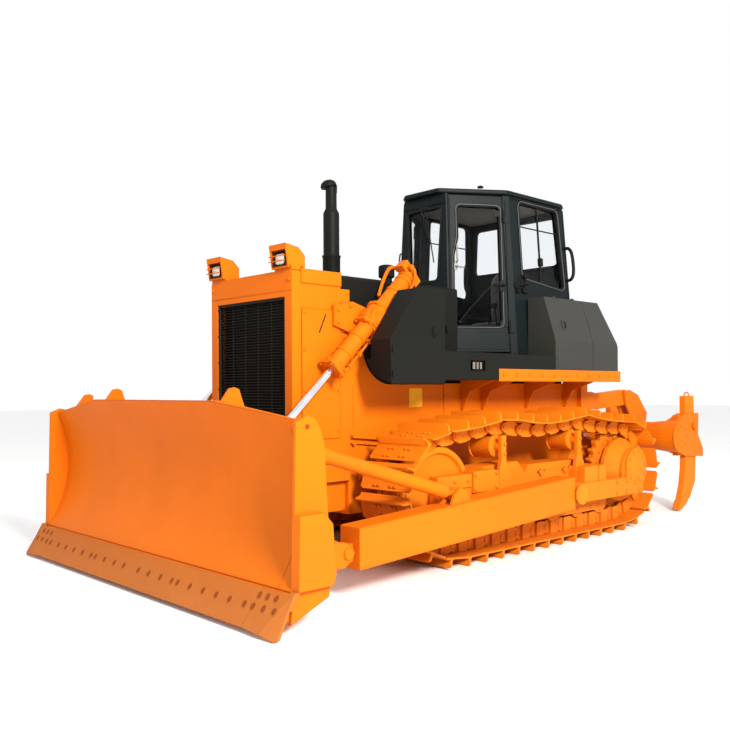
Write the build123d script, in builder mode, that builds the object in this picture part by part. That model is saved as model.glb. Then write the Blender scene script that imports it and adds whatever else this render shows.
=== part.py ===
from build123d import *
from math import atan2, cos, degrees, hypot, radians, sin, tan
import os

# A 220-horsepower class crawler bulldozer with a hexagonal cab, straight blade and three-shank ripper.
# Millimetres. +Z is up, the blade faces -Y, +X is the machine's left. The origin is on the ground.

# Undercarriage
wheelbase = 2730.0
idler_y = -1357.0
axle_z = 597.0
track_gauge = 2000.0
shoe_width = 560.0
shoe_count = 38
shoe_thickness = 14.0
grouser_height = 72.0
grouser_root = 26.0
grouser_tip = 14.0
link_height = 124.0
strand_offset = 90.0
strand_width = 44.0
pitch_radius = 434.0
sprocket_radius = 430.0
tooth_count = 25
carrier_y = (-629.0, 521.0)
carrier_radius = 98.0
track_sag = 66.0
track_crown = 1122.0
roller_count = 6
roller_first_y = -957.0
roller_spacing = 388.0
roller_radius = 108.0
roller_flange = 20.0
roller_gap = 0.3

pin_inset = link_height / 2
sprocket_y = idler_y + wheelbase
track_x = track_gauge / 2
shoe_inner = pitch_radius + pin_inset
ground_pin_z = grouser_height + shoe_thickness + pin_inset
rail_radius = pitch_radius - pin_inset
rail_z = ground_pin_z + pin_inset
roller_z = rail_z + roller_gap + roller_radius

# Roller frames
frame_width = 250.0
frame_bottom = 470.0
frame_top = 690.0
frame_front = -940.0
frame_rear = 880.0
outer_beam_x = 1130.0
outer_beam_face = 1318.0
outer_beam_z = (368.0, 545.0)
outer_beam_y = (-120.0, 1500.0)

# Hull and radiator guard
hull_half = 569.0
plate = 24.0
belly_z = 420.0
side_bottom = 1000.0
side_top = 1480.0
guard_front = -2417.0
guard_rear = -1834.0
guard_top = 2365.0
guard_bottom = 700.0
guard_wall = 30.0
cover_front = -2331.0
cover_rear = -1929.0
cover_thickness = 12.0
cover_drop = 110.0
panel_rise = 12.0
panel_top = 2075.0
grille_half = 478.0
grille_top = 2159.0
grille_bottom = 960.0
hood_half = hull_half - plate
hood_top = 2370.0
hood_rear = -405.0
hood_corner_in = 370.0
hood_corner_back = 85.0
case_half = 580.0
case_front = -714.0
case_rear = 1540.0
case_top = 1490.0

# Platforms, lockers and tank
deck_x = 1050.0
deck_z = 1748.0
tread_rise = 5.0
beam_top = 1615.0
beam_bottom = 1508.0
platform_front = -1209.0
beam_front = -504.0
beam_rear = 1518.0
locker_front = -1831.0
locker_top = 2250.0
locker_bottom = 1475.0
locker_inner = 820.0
tank_front = 356.0
tank_seam = 1000.0
tank_rear = 1468.0
tank_top = 2330.0
tank_knee = 1900.0
tank_top_x = 912.0

# Cab: half widths and stations of the front corners, door posts and rear corners
cab_low_z = 1780.0
cab_high_z = 3330.0
cab_low = ((350.0, -399.0), (720.0, 195.0), (720.0, 1142.0))
cab_high = ((280.0, -357.0), (620.0, 189.0), (620.0, 1091.0))
wall = 50.0
roof_top = 3390.0
roof_reach = ((-52.0, -60.0), (15.0, -32.0), (15.0, 25.0))
door_gap = 6.0
front_post = 20.0
rear_post = 70.0

# Blade and push frame
pivot_y = 31.0
pivot_z = 498.0
pivot_pin = 60.0
arm_inner = 1330.0
arm_width = 200.0
arm_height = 282.0
arm_front = (-2587.0, 367.0)
arm_rear = (-49.0, 513.0)
blade_overhang = 270.0
blade_half = arm_inner + arm_width + blade_overhang
blade_plate = 25.0
end_bit_overhang = 62.5
doubler_width = end_bit_overhang - 10.5
blade_top = 1368.0
blade_end_top = 1247.0
blade_flat = 868.0
mould_radius = 917.0
mould_top_y = -3325.0
mould_foot = (-3344.0, 250.0)
edge_top = (-3377.0, 250.0)
edge_low = (-3529.0, 40.0)
edge_thickness = 26.7
end_bit_z = 21.0
end_bit_length = 332.5
end_bit_reach = blade_half + end_bit_overhang
end_bit_inner = end_bit_reach - end_bit_length

# Blade lift cylinders: trunnion and rod eye in (y, z)
lift_x = 700.0
lift_trunnion = (-1693.0, 2014.0)
lift_eye = (-2925.0, 851.0)
trunnion_radius = 45.0
barrel_radius = 70.0
rod_radius = 32.0
gland_reach = 620.0
cap_reach = 565.0
rod_inside = 360.0

# Ripper: upper and lower link pins, beam and shanks in (y, z)
upper_pin = (1751.0, 1290.0)
lower_pin = (1770.0, 690.0)
link_step = (617.0, 43.0)
beam_axis = (2703.0, 879.0)
ripper_half = 1123.0
ripper_radius = 160.0
ripper_end_radius = 178.0
pocket_rear = 3376.0
shank_x = 1000.0
shank_thickness = 70.0
rip_cyl_pin = (1620.0, 1340.0)
rip_eye = (2280.0, 692.0)
rip_cyl_x = 250.0

# The origin lies under the middle of the overall length, from the end bits to the ripper pockets
edge_slope = hypot(edge_low[0] - edge_top[0], edge_low[1] - edge_top[1])
end_bit_drop = (edge_top[1] - end_bit_z) * edge_slope / (edge_top[1] - edge_low[1])
end_bit_y = edge_top[0] + (edge_low[0] - edge_top[0]) * end_bit_drop / edge_slope
length_shift = -(end_bit_y + pocket_rear) / 2

os.makedirs("parts", exist_ok=True)
LEFT_RIGHT = (("left", 1), ("right", -1))


def save(piece, name):
    """Write one node, moved so that the origin lies under the middle of the overall length."""
    piece.part.locate(Location((0, length_shift, 0)))
    piece.part.label = name
    export_step(piece.part, f"parts/{name}.step")


def side_slab(points, x_start, width, mode=Mode.ADD):
    """A closed (y, z) outline, extruded from x_start towards +X."""
    with BuildSketch(Plane.YZ.offset(x_start)) as outline:
        with BuildLine():
            Polyline(*points, close=True)
        make_face()
    extrude(outline.sketch, amount=width, mode=mode)


def block(x_range, y_range, z_range, mode=Mode.ADD):
    """A rectangular block between pairs of limits."""
    centre = [(a + b) / 2 for a, b in (x_range, y_range, z_range)]
    size = [b - a for a, b in (x_range, y_range, z_range)]
    with Locations(tuple(centre)):
        Box(*size, mode=mode)


def cross_pin(y, z, radius, x_start, x_end, mode=Mode.ADD):
    """A round bar along X."""
    with BuildSketch(Plane.YZ.offset(x_start)) as disc:
        with Locations((y, z)):
            Circle(radius)
    extrude(disc.sketch, amount=x_end - x_start, mode=mode)


def across(y, z):
    """A plane square to X, whose offsets run along X."""
    return Plane(origin=(0, y, z), x_dir=(0, 1, 0), z_dir=(1, 0, 0))


def faceted(rings, plane, sides=24, mode=Mode.ADD):
    """A round form in flat sides, lofted through (distance, radius) rings along a plane's normal."""
    sections = []
    for distance, radius in rings:
        with BuildSketch(plane.offset(distance)) as section:
            RegularPolygon(radius, sides)
        sections.append(section.sketch.faces()[0])
    loft(sections, ruled=True, mode=mode)


def boss(y, z, radius, x_start, x_end, sides=12, mode=Mode.ADD):
    """A short flat-sided round along X, for eyes, hubs and pins that nothing turns on."""
    faceted(((x_start, radius), (x_end, radius)), across(y, z), sides, mode)


def rotated(point, centre, angle):
    """A (y, z) point turned by an angle in degrees about a centre."""
    a = radians(angle)
    y, z = point[0] - centre[0], point[1] - centre[1]
    return centre[0] + y * cos(a) - z * sin(a), centre[1] + y * sin(a) + z * cos(a)


def mirrored(piece):
    """The same piece on the machine's other side."""
    with BuildPart() as copy:
        mirror(piece.part, about=Plane.YZ)
    return copy


def both_sides(piece):
    """The left piece and its mirror image as one node."""
    with BuildPart() as pair:
        add(piece.part)
        mirror(piece.part, about=Plane.YZ)
    return pair


# Track: the pin line is a closed path, walked in equal pitches
def track_path():
    """Dense (y, z) points of the pin line: ground run, sprocket, sagging top run, idler."""
    points = []
    ground = [(idler_y + 150, ground_pin_z), (sprocket_y - 150, ground_pin_z)]
    start = (sprocket_y, axle_z - sprocket_radius)
    points += ground
    for step in range(0, 37):
        points.append(rotated(start, (sprocket_y, axle_z), 4 + step * 172 / 36))
    crown = track_crown
    top = axle_z + pitch_radius
    spans = (
        (points[-1], (carrier_y[1], crown), track_sag * 0.35),
        ((carrier_y[1], crown), (carrier_y[0], crown), track_sag),
        ((carrier_y[0], crown), (idler_y + 40, top), track_sag * 0.2),
    )
    for (y0, z0), (y1, z1), sag in spans:
        for step in range(1, 9):
            t = step / 8
            points.append((y0 + (y1 - y0) * t, z0 + (z1 - z0) * t - 4 * sag * t * (1 - t)))
    for step in range(0, 37):
        points.append(rotated((idler_y, top), (idler_y, axle_z), 4 + step * 172 / 36))
    points.append(ground[0])
    return points


def walk(points, count):
    """Points at equal spacing along a closed path."""
    lengths = [hypot(b[0] - a[0], b[1] - a[1]) for a, b in zip(points, points[1:])]
    pitch = sum(lengths) / count
    found, travelled, k = [], 0.0, 0
    for n in range(count):
        while travelled + lengths[k] < n * pitch:
            travelled += lengths[k]
            k += 1
        t = (n * pitch - travelled) / lengths[k]
        a, b = points[k], points[k + 1]
        found.append((a[0] + (b[0] - a[0]) * t, a[1] + (b[1] - a[1]) * t))
    return found, pitch


pins, pitch = walk(track_path(), shoe_count)
print("track pitch", round(pitch, 1))


def chain_frame(n):
    """Start pin, unit direction and outward unit normal of link n, in (y, z)."""
    a, b = pins[n], pins[(n + 1) % shoe_count]
    length = hypot(b[0] - a[0], b[1] - a[1])
    along = ((b[0] - a[0]) / length, (b[1] - a[1]) / length)
    return a, along, (along[1], -along[0]), length


def at_link(n, s, h):
    """The (y, z) point at s along link n and h outwards from its pin line."""
    a, along, out, length = chain_frame(n)
    return a[0] + along[0] * s * length + out[0] * h, a[1] + along[1] * s * length + out[1] * h


def miter(n, h):
    """The point h outwards of pin n where the neighbouring links' offset lines meet."""
    a0, along0, out0, length0 = chain_frame(n - 1)
    a1, along1, out1, length1 = chain_frame(n)
    normal = (out0[0] + out1[0], out0[1] + out1[1])
    k = 2 * h / (normal[0] ** 2 + normal[1] ** 2)
    return a1[0] + normal[0] * k, a1[1] + normal[1] * k


def shoe_band():
    """The outline of all shoes with their grousers, and the line they sit on."""
    outer, inner = [], []
    face = pin_inset + shoe_thickness
    for n in range(shoe_count):
        length = chain_frame(n)[3]
        root = grouser_root / length / 2
        tip = grouser_tip / length / 2
        outer.append(miter(n, face))
        outer.append(at_link(n, 0.16 - root, face))
        outer.append(at_link(n, 0.16 - tip, face + grouser_height))
        outer.append(at_link(n, 0.16 + tip, face + grouser_height))
        outer.append(at_link(n, 0.16 + root, face))
        inner.append(miter(n, pin_inset))
    return outer, inner


def rail_band():
    """One strand of links: full height at mid link, notched between links on the rail side."""
    outer, inner = [], []
    for n in range(shoe_count):
        outer.append(miter(n, pin_inset))
        inner.append(miter(n, -pin_inset * 0.45))
        inner.append(at_link(n, 0.14, -pin_inset))
        inner.append(at_link(n, 0.86, -pin_inset))
    return outer, inner


def ring(outer, inner, x_start, width):
    with BuildSketch(Plane.YZ.offset(x_start)) as band:
        with BuildLine():
            Polyline(*outer, close=True)
        make_face()
        with BuildLine():
            Polyline(*inner, close=True)
        make_face(mode=Mode.SUBTRACT)
    extrude(band.sketch, amount=width)


with BuildPart() as track_left:
    ring(*shoe_band(), track_x - shoe_width / 2, shoe_width)
    for offset in (-strand_offset, strand_offset):
        ring(*rail_band(), track_x + offset - strand_width / 2, strand_width)
track_right = mirrored(track_left)
save(track_left, "track_left")
save(track_right, "track_right")

# Idlers: a centre flange between the strands, with recessed webs


def rail_distance(y, z):
    """How far the nearest rail face stays from a wheel's axle."""
    found = []
    for n in range(shoe_count):
        p, q = at_link(n, 0, -pin_inset), at_link(n, 1, -pin_inset)
        step = (q[0] - p[0], q[1] - p[1])
        t = ((y - p[0]) * step[0] + (z - p[1]) * step[1]) / (step[0] ** 2 + step[1] ** 2)
        t = min(1.0, max(0.0, t))
        found.append(hypot(p[0] + step[0] * t - y, p[1] + step[1] * t - z))
    return min(found)


idler_radius = rail_distance(idler_y, axle_z) - roller_gap
strand_inner = strand_offset - strand_width / 2
strand_outer = strand_offset + strand_width / 2
web_depth = 34.0
idler_flange = 20.0
idler_rings = ((-strand_outer, idler_radius), (-strand_inner + 6, idler_radius),
               (-strand_inner + 12, idler_radius + idler_flange),
               (strand_inner - 12, idler_radius + idler_flange), (strand_inner - 6,
                                                                  idler_radius), (strand_outer,
                                                                                  idler_radius))
with BuildPart() as idlers:
    for side in (-1, 1):
        hub = across(idler_y, axle_z)
        x = side * track_x
        faceted([(x + offset, radius) for offset, radius in idler_rings], hub)
        for face in (-1, 1):
            rim_x, web_x = x + face * strand_outer, x + face * (strand_outer - web_depth)
            faceted(((rim_x, idler_radius - 40), (web_x, idler_radius - 56)), hub, 16, Mode.SUBTRACT)
            faceted(((web_x, 130), (rim_x, 120)), hub, 12)
save(idlers, "idlers")

# Sprockets: a toothed rim between the strands and a hub
rim_radius = sprocket_radius - 54.0
tooth_height = 46.0


def sprocket_outline():
    rearmost = max(pins, key=lambda p: p[0])
    phase = degrees(atan2(rearmost[1] - axle_z, rearmost[0] - sprocket_y)) + 180 / tooth_count
    points = []
    for n in range(tooth_count):
        turn = phase + n * 360 / tooth_count
        for angle, radius in ((-5.4, rim_radius), (-2.2, rim_radius + tooth_height),
                              (2.2, rim_radius + tooth_height), (5.4, rim_radius)):
            a = radians(turn + angle)
            points.append((sprocket_y + radius * cos(a), axle_z + radius * sin(a)))
    return points


with BuildPart() as sprockets:
    for side in (-1, 1):
        side_slab(sprocket_outline(), side * track_x - 34, 68)
        hub_rings = ((-110, 250), (-34, 300), (34, 300), (90, 250))
        faceted([(side * (track_x + x), r) for x, r in hub_rings], across(sprocket_y, axle_z), 16)
save(sprockets, "sprockets")

# Track rollers, the last one waisted for the sprocket teeth, and carrier rollers
roller_sides = 12


def carrier_height(y):
    """The height of a carrier roller's axle that lets the chain just rest on it."""
    heights = []
    for n in range(shoe_count):
        p, q = at_link(n, 0, -pin_inset), at_link(n, 1, -pin_inset)
        if min(p[0], q[0]) < y + 30 and max(p[0], q[0]) > y - 30 and p[1] > axle_z + 200:
            length = hypot(q[0] - p[0], q[1] - p[1])
            cosine = abs(q[0] - p[0]) / length
            on_rail = p[1] + (q[1] - p[1]) * (y - p[0]) / (q[0] - p[0])
            heights.append(on_rail - (carrier_radius + roller_gap) / cosine)
    return min(heights)


carriers = [(y, carrier_height(y)) for y in carrier_y]
carrier_post_x = 1170.0
tread_half = strand_outer + 2
roller_side = ((frame_width / 2, roller_radius + roller_flange), (tread_half, roller_radius))
roller_waist = ((54, roller_radius), (40, 50))
with BuildPart() as rollers:
    for side in (-1, 1):
        x = side * track_x
        for n in range(roller_count):
            seat = (roller_first_y + n * roller_spacing, roller_z)
            rings = roller_side + (roller_waist if n == roller_count - 1 else ())
            rings = [(-offset, radius) for offset, radius in rings] + list(reversed(rings))
            faceted([(x + offset, radius) for offset, radius in rings], across(*seat), roller_sides)
        for seat in carriers:
            boss(*seat, carrier_radius, x - tread_half, x + tread_half, roller_sides)
            boss(*seat, 48, *sorted((x + side * tread_half, side * carrier_post_x)), 8)
save(rollers, "rollers")

# Roller frame: box beam, idler fork, spring cover, carrier posts and the outer beam with the push arm pivot
with BuildPart() as roller_frame_left:
    half = frame_width / 2
    block((track_x - half, track_x + half), (frame_front, frame_rear), (frame_bottom, frame_top))
    for offset in (-1, 1):
        x_mid = track_x + offset * 137
        block((x_mid - 12, x_mid + 12), (frame_front, frame_rear + 60), (300, frame_bottom + 60))
        fork = sorted((track_x + offset * (strand_outer + 14), track_x + offset * 200))
        block(fork, (idler_y - 130, frame_front), (520, 690))
        block(fork, (frame_front, frame_front + 240), (frame_bottom, 690))
        boss(idler_y, axle_z, 55, *sorted((track_x + offset * strand_outer,
                                           track_x + offset * (strand_outer + 14))))
    side_slab(((frame_front + 80, frame_top), (frame_front + 150, 775), (-330, 790), (-230, frame_top)),
              track_x - 110, 220)
    side_slab(((-230, frame_top), (-180, 752), (560, 752), (620, frame_top)), track_x - 120, 240)
    for y in carrier_y:
        side_slab(((y - 75, frame_bottom), (y - 75, 700), (y - 46, 820), (y - 46, 1035), (y + 20, 1035),
                   (y + 20, 820), (y + 75, 700), (y + 75, frame_bottom)), carrier_post_x, 36)
        block((track_x + half, carrier_post_x), (y - 75, y + 75), (frame_bottom, 700))
    block((track_x + half, 1215), (idler_y - 130, -1074), (632, 739))
    side_slab(((-1066, 581), (-1066, 757), (-790, 757), (-739, 700), (-739, 581)), track_x + half, 105)
    block((outer_beam_x, outer_beam_face), outer_beam_y, outer_beam_z)
    block((track_x + half, outer_beam_x), (outer_beam_y[0], frame_rear), (frame_bottom, outer_beam_z[1]))
    cross_pin(pivot_y, pivot_z, pivot_pin, outer_beam_face, arm_inner + arm_width + 12)
    boss(pivot_y, pivot_z, 92, arm_inner + arm_width + 12, arm_inner + arm_width + 26, 16)
    for y0, y1 in ((455, 690), (702, 830)):
        side_slab(((y0, 545), (y0, 690), (y1 - 25, 700), (y1, 670), (y1, 545)), 1150, 150)
roller_frames = both_sides(roller_frame_left)
save(roller_frames, "roller_frames")

# Final drives: inner housing to the hull and the outer bearing dome on the outer beam
with BuildPart() as final_drives:
    for side in (-1, 1):
        axle = across(sprocket_y, axle_z)
        inner_rings = ((case_half, 330), (700, 330), (860, 240), (track_x - 110, 240))
        outer_rings = ((track_x + 90, 330), (track_x + 130, 330), (1250, 235), (1290, 235))
        faceted([(side * x, r) for x, r in inner_rings], axle, 16)
        faceted([(side * x, r) for x, r in outer_rings], axle, 16)
        block(sorted((side * 1290, side * 1318)), (sprocket_y - 190, sprocket_y + 190), (545, 640))
        boss(sprocket_y, axle_z + 43, 190, *sorted((side * 1290, side * 1318)), 16)
    for side in (-1, 1):
        block(sorted((side * outer_beam_x, side * (outer_beam_face + 40))), outer_beam_y, outer_beam_z,
              mode=Mode.SUBTRACT)
save(final_drives, "final_drives")

# Hull: belly, side plates and rear case
with BuildPart() as main_frame:
    block((-hood_half, hood_half), (guard_rear, case_front), (belly_z, belly_z + 30))
    block((-851, 851), (-900, -800), (320, belly_z))
    for side in (-1, 1):
        x0 = hood_half if side > 0 else -hull_half
        with BuildSketch(Plane.YZ.offset(x0)) as side_plate:
            with BuildLine():
                Line((guard_rear, side_bottom), (guard_rear, 1900))
                Line((guard_rear, 1900), (-1690, 1760))
                RadiusArc((-1690, 1760), (-1400, side_top), -320)
                Line((-1400, side_top), (case_front, side_top))
                Line((case_front, side_top), (case_front, 880))
                Line((case_front, 880), (guard_rear, side_bottom))
            make_face()
        extrude(side_plate.sketch, amount=plate)
        ledge = sorted((side * hull_half, side * (hull_half + 40)))
        side_slab(((guard_rear, side_bottom + 45), (guard_rear, side_bottom + 69), (case_front, 960),
                   (case_front, 936)),
                  ledge[0], 40)
        inner = sorted((side * (hood_half - 110), side * hood_half))
        block(inner, (guard_rear, case_front), (belly_z, 1010))
    block((-case_half, case_half), (case_front, case_rear), (belly_z + 20, case_top))
save(main_frame, "main_frame")

# Engine: one plain block under the hood
with BuildPart() as engine:
    block((-330, 330), (-1760, -760), (belly_z + 30, 1900))
save(engine, "engine")

# Radiator guard with its grille opening
with BuildPart() as radiator_guard:
    block((-hull_half, hull_half), (guard_front, guard_rear), (guard_bottom, guard_top))
    fillet(radiator_guard.edges().filter_by(Axis.Y).group_by(Axis.Z)[-1], 28)
    block((-hull_half + guard_wall, hull_half - guard_wall), (guard_front + guard_wall, guard_rear),
          (guard_bottom, guard_top - guard_wall), mode=Mode.SUBTRACT)
    block((-grille_half, grille_half), (guard_front, guard_front + guard_wall), (grille_bottom, grille_top),
          mode=Mode.SUBTRACT)
    block((-hull_half, hull_half), (cover_rear, guard_rear), (2249, guard_top), mode=Mode.SUBTRACT)
    block((-hull_half - cover_thickness, hull_half + cover_thickness), (cover_front, cover_rear),
          (guard_top + cover_thickness - cover_drop, guard_top + cover_thickness))
    block((guard_wall - hull_half, hull_half - guard_wall), (guard_front + guard_wall, guard_rear + 1),
          (guard_bottom, guard_top - guard_wall), mode=Mode.SUBTRACT)
    for x0 in (-hull_half - panel_rise, hull_half):
        block((x0, x0 + panel_rise), (cover_front + 4, guard_rear - 110), (guard_bottom + 350, panel_top))
save(radiator_guard, "radiator_guard")

bar = 7.0
with BuildPart() as grille:
    block((-grille_half, grille_half), (guard_front + 8, guard_front + 8 + 2 * bar),
          (grille_bottom, grille_top))
    block((-grille_half + 24, grille_half - 24), (guard_front, guard_front + 60),
          (grille_bottom + 24, grille_top - 24), mode=Mode.SUBTRACT)
    for n in range(5):
        x = -grille_half + 24 + (n + 1) * (2 * grille_half - 48) / 6
        block((x - bar / 2, x + bar / 2), (guard_front + 8 + bar, guard_front + 8 + 2 * bar),
              (grille_bottom + 24, grille_top - 24))
    for n in range(8):
        z = grille_bottom + 24 + (n + 1) * (grille_top - grille_bottom - 48) / 9
        block((-grille_half + 24, grille_half - 24), (guard_front + 8, guard_front + 8 + bar),
              (z - bar / 2, z + bar / 2))
save(grille, "grille")

with BuildPart() as radiator:
    block((guard_wall - hull_half, hull_half - guard_wall), (guard_front + 120, guard_front + 260),
          (guard_bottom + 100, 2200))
save(radiator, "radiator")

with BuildPart() as front_crossmember:
    block((-500, 500), (guard_front + 40, guard_rear), (belly_z + 30, guard_bottom))
save(front_crossmember, "front_crossmember")

# Hood behind the guard cover
with BuildPart() as hood:
    with BuildSketch(Plane.XZ.offset(-hood_rear)):
        with Locations((0, (hood_top + case_top) / 2)):
            Rectangle(2 * hood_half, hood_top - case_top)
    extrude(amount=hood_rear - cover_rear)
    fillet(hood.edges().filter_by(Axis.Y).group_by(Axis.Z)[-1], 36)
    block((16 - hood_half, hood_half - 16), (cover_rear, hood_rear - hood_corner_back - 16),
          (case_top, hood_top - 16),
          mode=Mode.SUBTRACT)
    block((16 - hood_corner_in, hood_corner_in - 16), (cover_rear, hood_rear), (case_top, hood_top - 16),
          mode=Mode.SUBTRACT)
    with BuildSketch(Plane.XY.offset(case_top - 1)) as rear_corners:
        for side in (-1, 1):
            with BuildLine():
                Polyline((side * hood_corner_in, hood_rear + 1), (side * (hood_half + 1), hood_rear + 1),
                         (side * (hood_half + 1), hood_rear - hood_corner_back), close=True)
            make_face()
    extrude(rear_corners.sketch, amount=hood_top - case_top + 2, mode=Mode.SUBTRACT)
    block((-hood_half - 1, hood_half + 1), (cover_rear, guard_rear), (case_top, 2249), mode=Mode.SUBTRACT)
save(hood, "hood")

# Work lamps in their hoods on the guard
lamp_inner = 350.0
lamp_outer = 560.0
lamp_base = guard_top + cover_thickness
lamp_side = ((-2443, lamp_base), (-2471, 2560), (-2342, 2538), (-2281, 2478), (-2281, lamp_base),
             (cover_front, lamp_base),
             (cover_front, guard_top), (guard_front, guard_top), (guard_front, lamp_base))
with BuildPart() as lamp_hoods:
    for side in (-1, 1):
        x0 = lamp_inner if side > 0 else -lamp_outer
        side_slab(lamp_side, x0, lamp_outer - lamp_inner)
        block((x0 + 12, x0 + lamp_outer - lamp_inner - 12), (-2480, -2330), (2392, 2515), mode=Mode.SUBTRACT)
save(lamp_hoods, "lamp_hoods")

with BuildPart() as headlamps:
    for side in (-1, 1):
        x_mid = side * (lamp_inner + lamp_outer) / 2
        block((x_mid - 70, x_mid + 70), (-2440, -2360), (2392, 2500))
save(headlamps, "headlamps")

# Exhaust: muffler, pipe and rain hood on the hood top
stack_y = -1549.0
stack_rings = ((hood_top, 78), (2615, 78), (2625, 71), (3010, 71), (3045, 49), (3228, 49))
cap_rings = ((3228, 62), (3252, 69), (3284, 56), (3301, 20))
with BuildPart() as exhaust:
    faceted(stack_rings, Plane(origin=(0, stack_y, 0)))
    faceted(cap_rings, Plane(origin=(0, stack_y, 0)))
save(exhaust, "exhaust")

# Front lockers beside the engine
with BuildPart() as locker_left:
    side_slab(((locker_front, locker_bottom), (locker_front, 1830), (-1530, locker_top),
               (platform_front, locker_top),
               (platform_front, locker_bottom)), locker_inner, deck_x - locker_inner)
    block((hull_half, locker_inner), (locker_front, platform_front), (locker_bottom, locker_bottom + 80))
front_lockers = both_sides(locker_left)
save(front_lockers, "front_lockers")

# Step platforms in front of the doors, with a foot hole in the skirt
with BuildPart() as platform_left:
    block((hull_half, deck_x), (platform_front, beam_front), (1516, deck_z))
    block((hull_half, deck_x), (beam_front, tank_front), (beam_top, deck_z))
    block((hull_half, locker_inner), (platform_front, -985), (1516, deck_z), mode=Mode.SUBTRACT)
    block((deck_x - 150, deck_x), (-891, -689), (1596, 1681), mode=Mode.SUBTRACT)
    block((cab_low[1][0] + 40, deck_x - 12), (platform_front + 20, cab_low[0][1] - 40),
          (deck_z, deck_z + tread_rise))
platforms = both_sides(platform_left)
save(platforms, "platforms")

# Fenders: the long side beam and its gussets
with BuildPart() as fender_left:
    block((case_half, deck_x), (beam_front, beam_rear), (beam_top - 16, beam_top))
    block((deck_x - 16, deck_x), (beam_front, beam_rear), (beam_bottom, beam_top))
    for y in (-480.0, -187.0, 490.0, 1158.0):
        with BuildSketch(Plane.XZ.offset(-y)):
            with BuildLine():
                Polyline((case_half, 1250), (case_half, beam_top - 16), (deck_x - 16, beam_top - 16),
                         (deck_x - 16, beam_bottom + 20), (700, 1420), (case_half + 30, 1250), close=True)
            make_face()
        extrude(amount=16)
fenders = both_sides(fender_left)
save(fenders, "fenders")

# Side lockers beside the cab and the fuel tank behind it
pod_section = ((720, beam_top), (720, tank_top), (tank_top_x, tank_top), (deck_x, tank_knee),
               (deck_x, beam_top))
with BuildPart() as side_locker_left:
    with BuildSketch(Plane.XZ.offset(-tank_front)):
        with BuildLine():
            Polyline(*pod_section, close=True)
        make_face()
    extrude(amount=-(tank_seam - tank_front))
side_lockers = both_sides(side_locker_left)
save(side_lockers, "side_lockers")

tank_section = [(-x, z) for x, z in reversed(pod_section[2:])] + list(pod_section[2:])
with BuildPart() as fuel_tank:
    with BuildSketch(Plane.XZ.offset(-tank_seam)):
        with BuildLine():
            Polyline(*tank_section, close=True)
        make_face()
    extrude(amount=-(tank_rear - tank_seam))
    block((-720, 720), (tank_seam, 1160), (beam_top, tank_top), mode=Mode.SUBTRACT)
    side_slab(((tank_rear - 172, tank_top), (tank_rear - 14, tank_knee), (tank_rear, 1860),
               (tank_rear + 10, 1860), (tank_rear + 10, tank_top)),
              -deck_x, 2 * deck_x, mode=Mode.SUBTRACT)
save(fuel_tank, "fuel_tank")

# Cab walls: each panel is a slab between the low and high outlines
def lerp(z):
    return (z - cab_low_z) / (cab_high_z - cab_low_z)


def corner(k, z, side=1):
    """Corner k of the cab's outline at height z: 0 front corner, 1 door post, 2 rear corner."""
    t = lerp(z)
    (x0, y0), (x1, y1) = cab_low[k], cab_high[k]
    return side * (x0 + (x1 - x0) * t), y0 + (y1 - y0) * t


def inset(k, z, side, d):
    """The corner moved inwards by wall thickness d, square to both of its walls."""
    outline = [corner(0, z, -1), corner(0, z, 1), corner(1, z, 1), corner(2, z, 1)]
    outline += [corner(2, z, -1), corner(1, z, -1)]
    index = {(0, 1): 1, (1, 1): 2, (2, 1): 3, (2, -1): 4, (1, -1): 5, (0, -1): 0}[(k, side)]
    p, q, r = outline[index - 1], outline[index], outline[(index + 1) % 6]

    def inward(a, b):
        length = hypot(b[0] - a[0], b[1] - a[1])
        return -(b[1] - a[1]) / length, (b[0] - a[0]) / length

    n0, n1 = inward(p, q), inward(q, r)
    m = (n0[0] + n1[0], n0[1] + n1[1])
    s = 2 * d / (m[0] ** 2 + m[1] ** 2)
    return q[0] + m[0] * s, q[1] + m[1] * s


def between(a, b, s):
    return a[0] + (b[0] - a[0]) * s, a[1] + (b[1] - a[1]) * s


def along(a, b, distance):
    return between(a, b, distance / hypot(b[0] - a[0], b[1] - a[1]))


def wall_slab(section_at, z0, z1):
    """A straight-sided wall from the (x, y) sections that a function gives at two heights."""
    with BuildSketch(Plane.XY.offset(z0)) as low:
        with BuildLine():
            Polyline(*section_at(z0), close=True)
        make_face()
    with BuildSketch(Plane.XY.offset(z1)) as high:
        with BuildLine():
            Polyline(*section_at(z1), close=True)
        make_face()
    loft([low.sketch.faces()[0], high.sketch.faces()[0]], ruled=True)


def face_plane(k0, side0, k1, side1):
    """The plane of the wall from corner k0 to corner k1: x along the wall, z outwards."""
    a, b = corner(k0, cab_low_z, side0), corner(k1, cab_low_z, side1)
    c = corner(k0, cab_high_z, side0)
    origin = Vector(a[0], a[1], cab_low_z)
    x_dir = Vector(b[0] - a[0], b[1] - a[1], 0).normalized()
    up = Vector(c[0], c[1], cab_high_z) - origin
    return Plane(origin=origin, x_dir=x_dir, z_dir=x_dir.cross(up).normalized())


def rounded(points, radius, steps=4):
    """The outline with each corner replaced by short flats along an arc."""
    result = []
    for n, point in enumerate(points):
        tip = Vector(*point)
        u = (Vector(*points[n - 1]) - tip).normalized()
        v = (Vector(*points[(n + 1) % len(points)]) - tip).normalized()
        half = radians(u.get_angle(v)) / 2
        centre = tip + (u + v).normalized() * (radius / sin(half))
        start = tip + u * (radius / tan(half)) - centre
        end = tip + v * (radius / tan(half)) - centre
        for k in range(steps + 1):
            spoke = centre + (start * (1 - k / steps) + end * (k / steps)).normalized() * radius
            result.append((spoke.X, spoke.Y))
    return result


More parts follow.
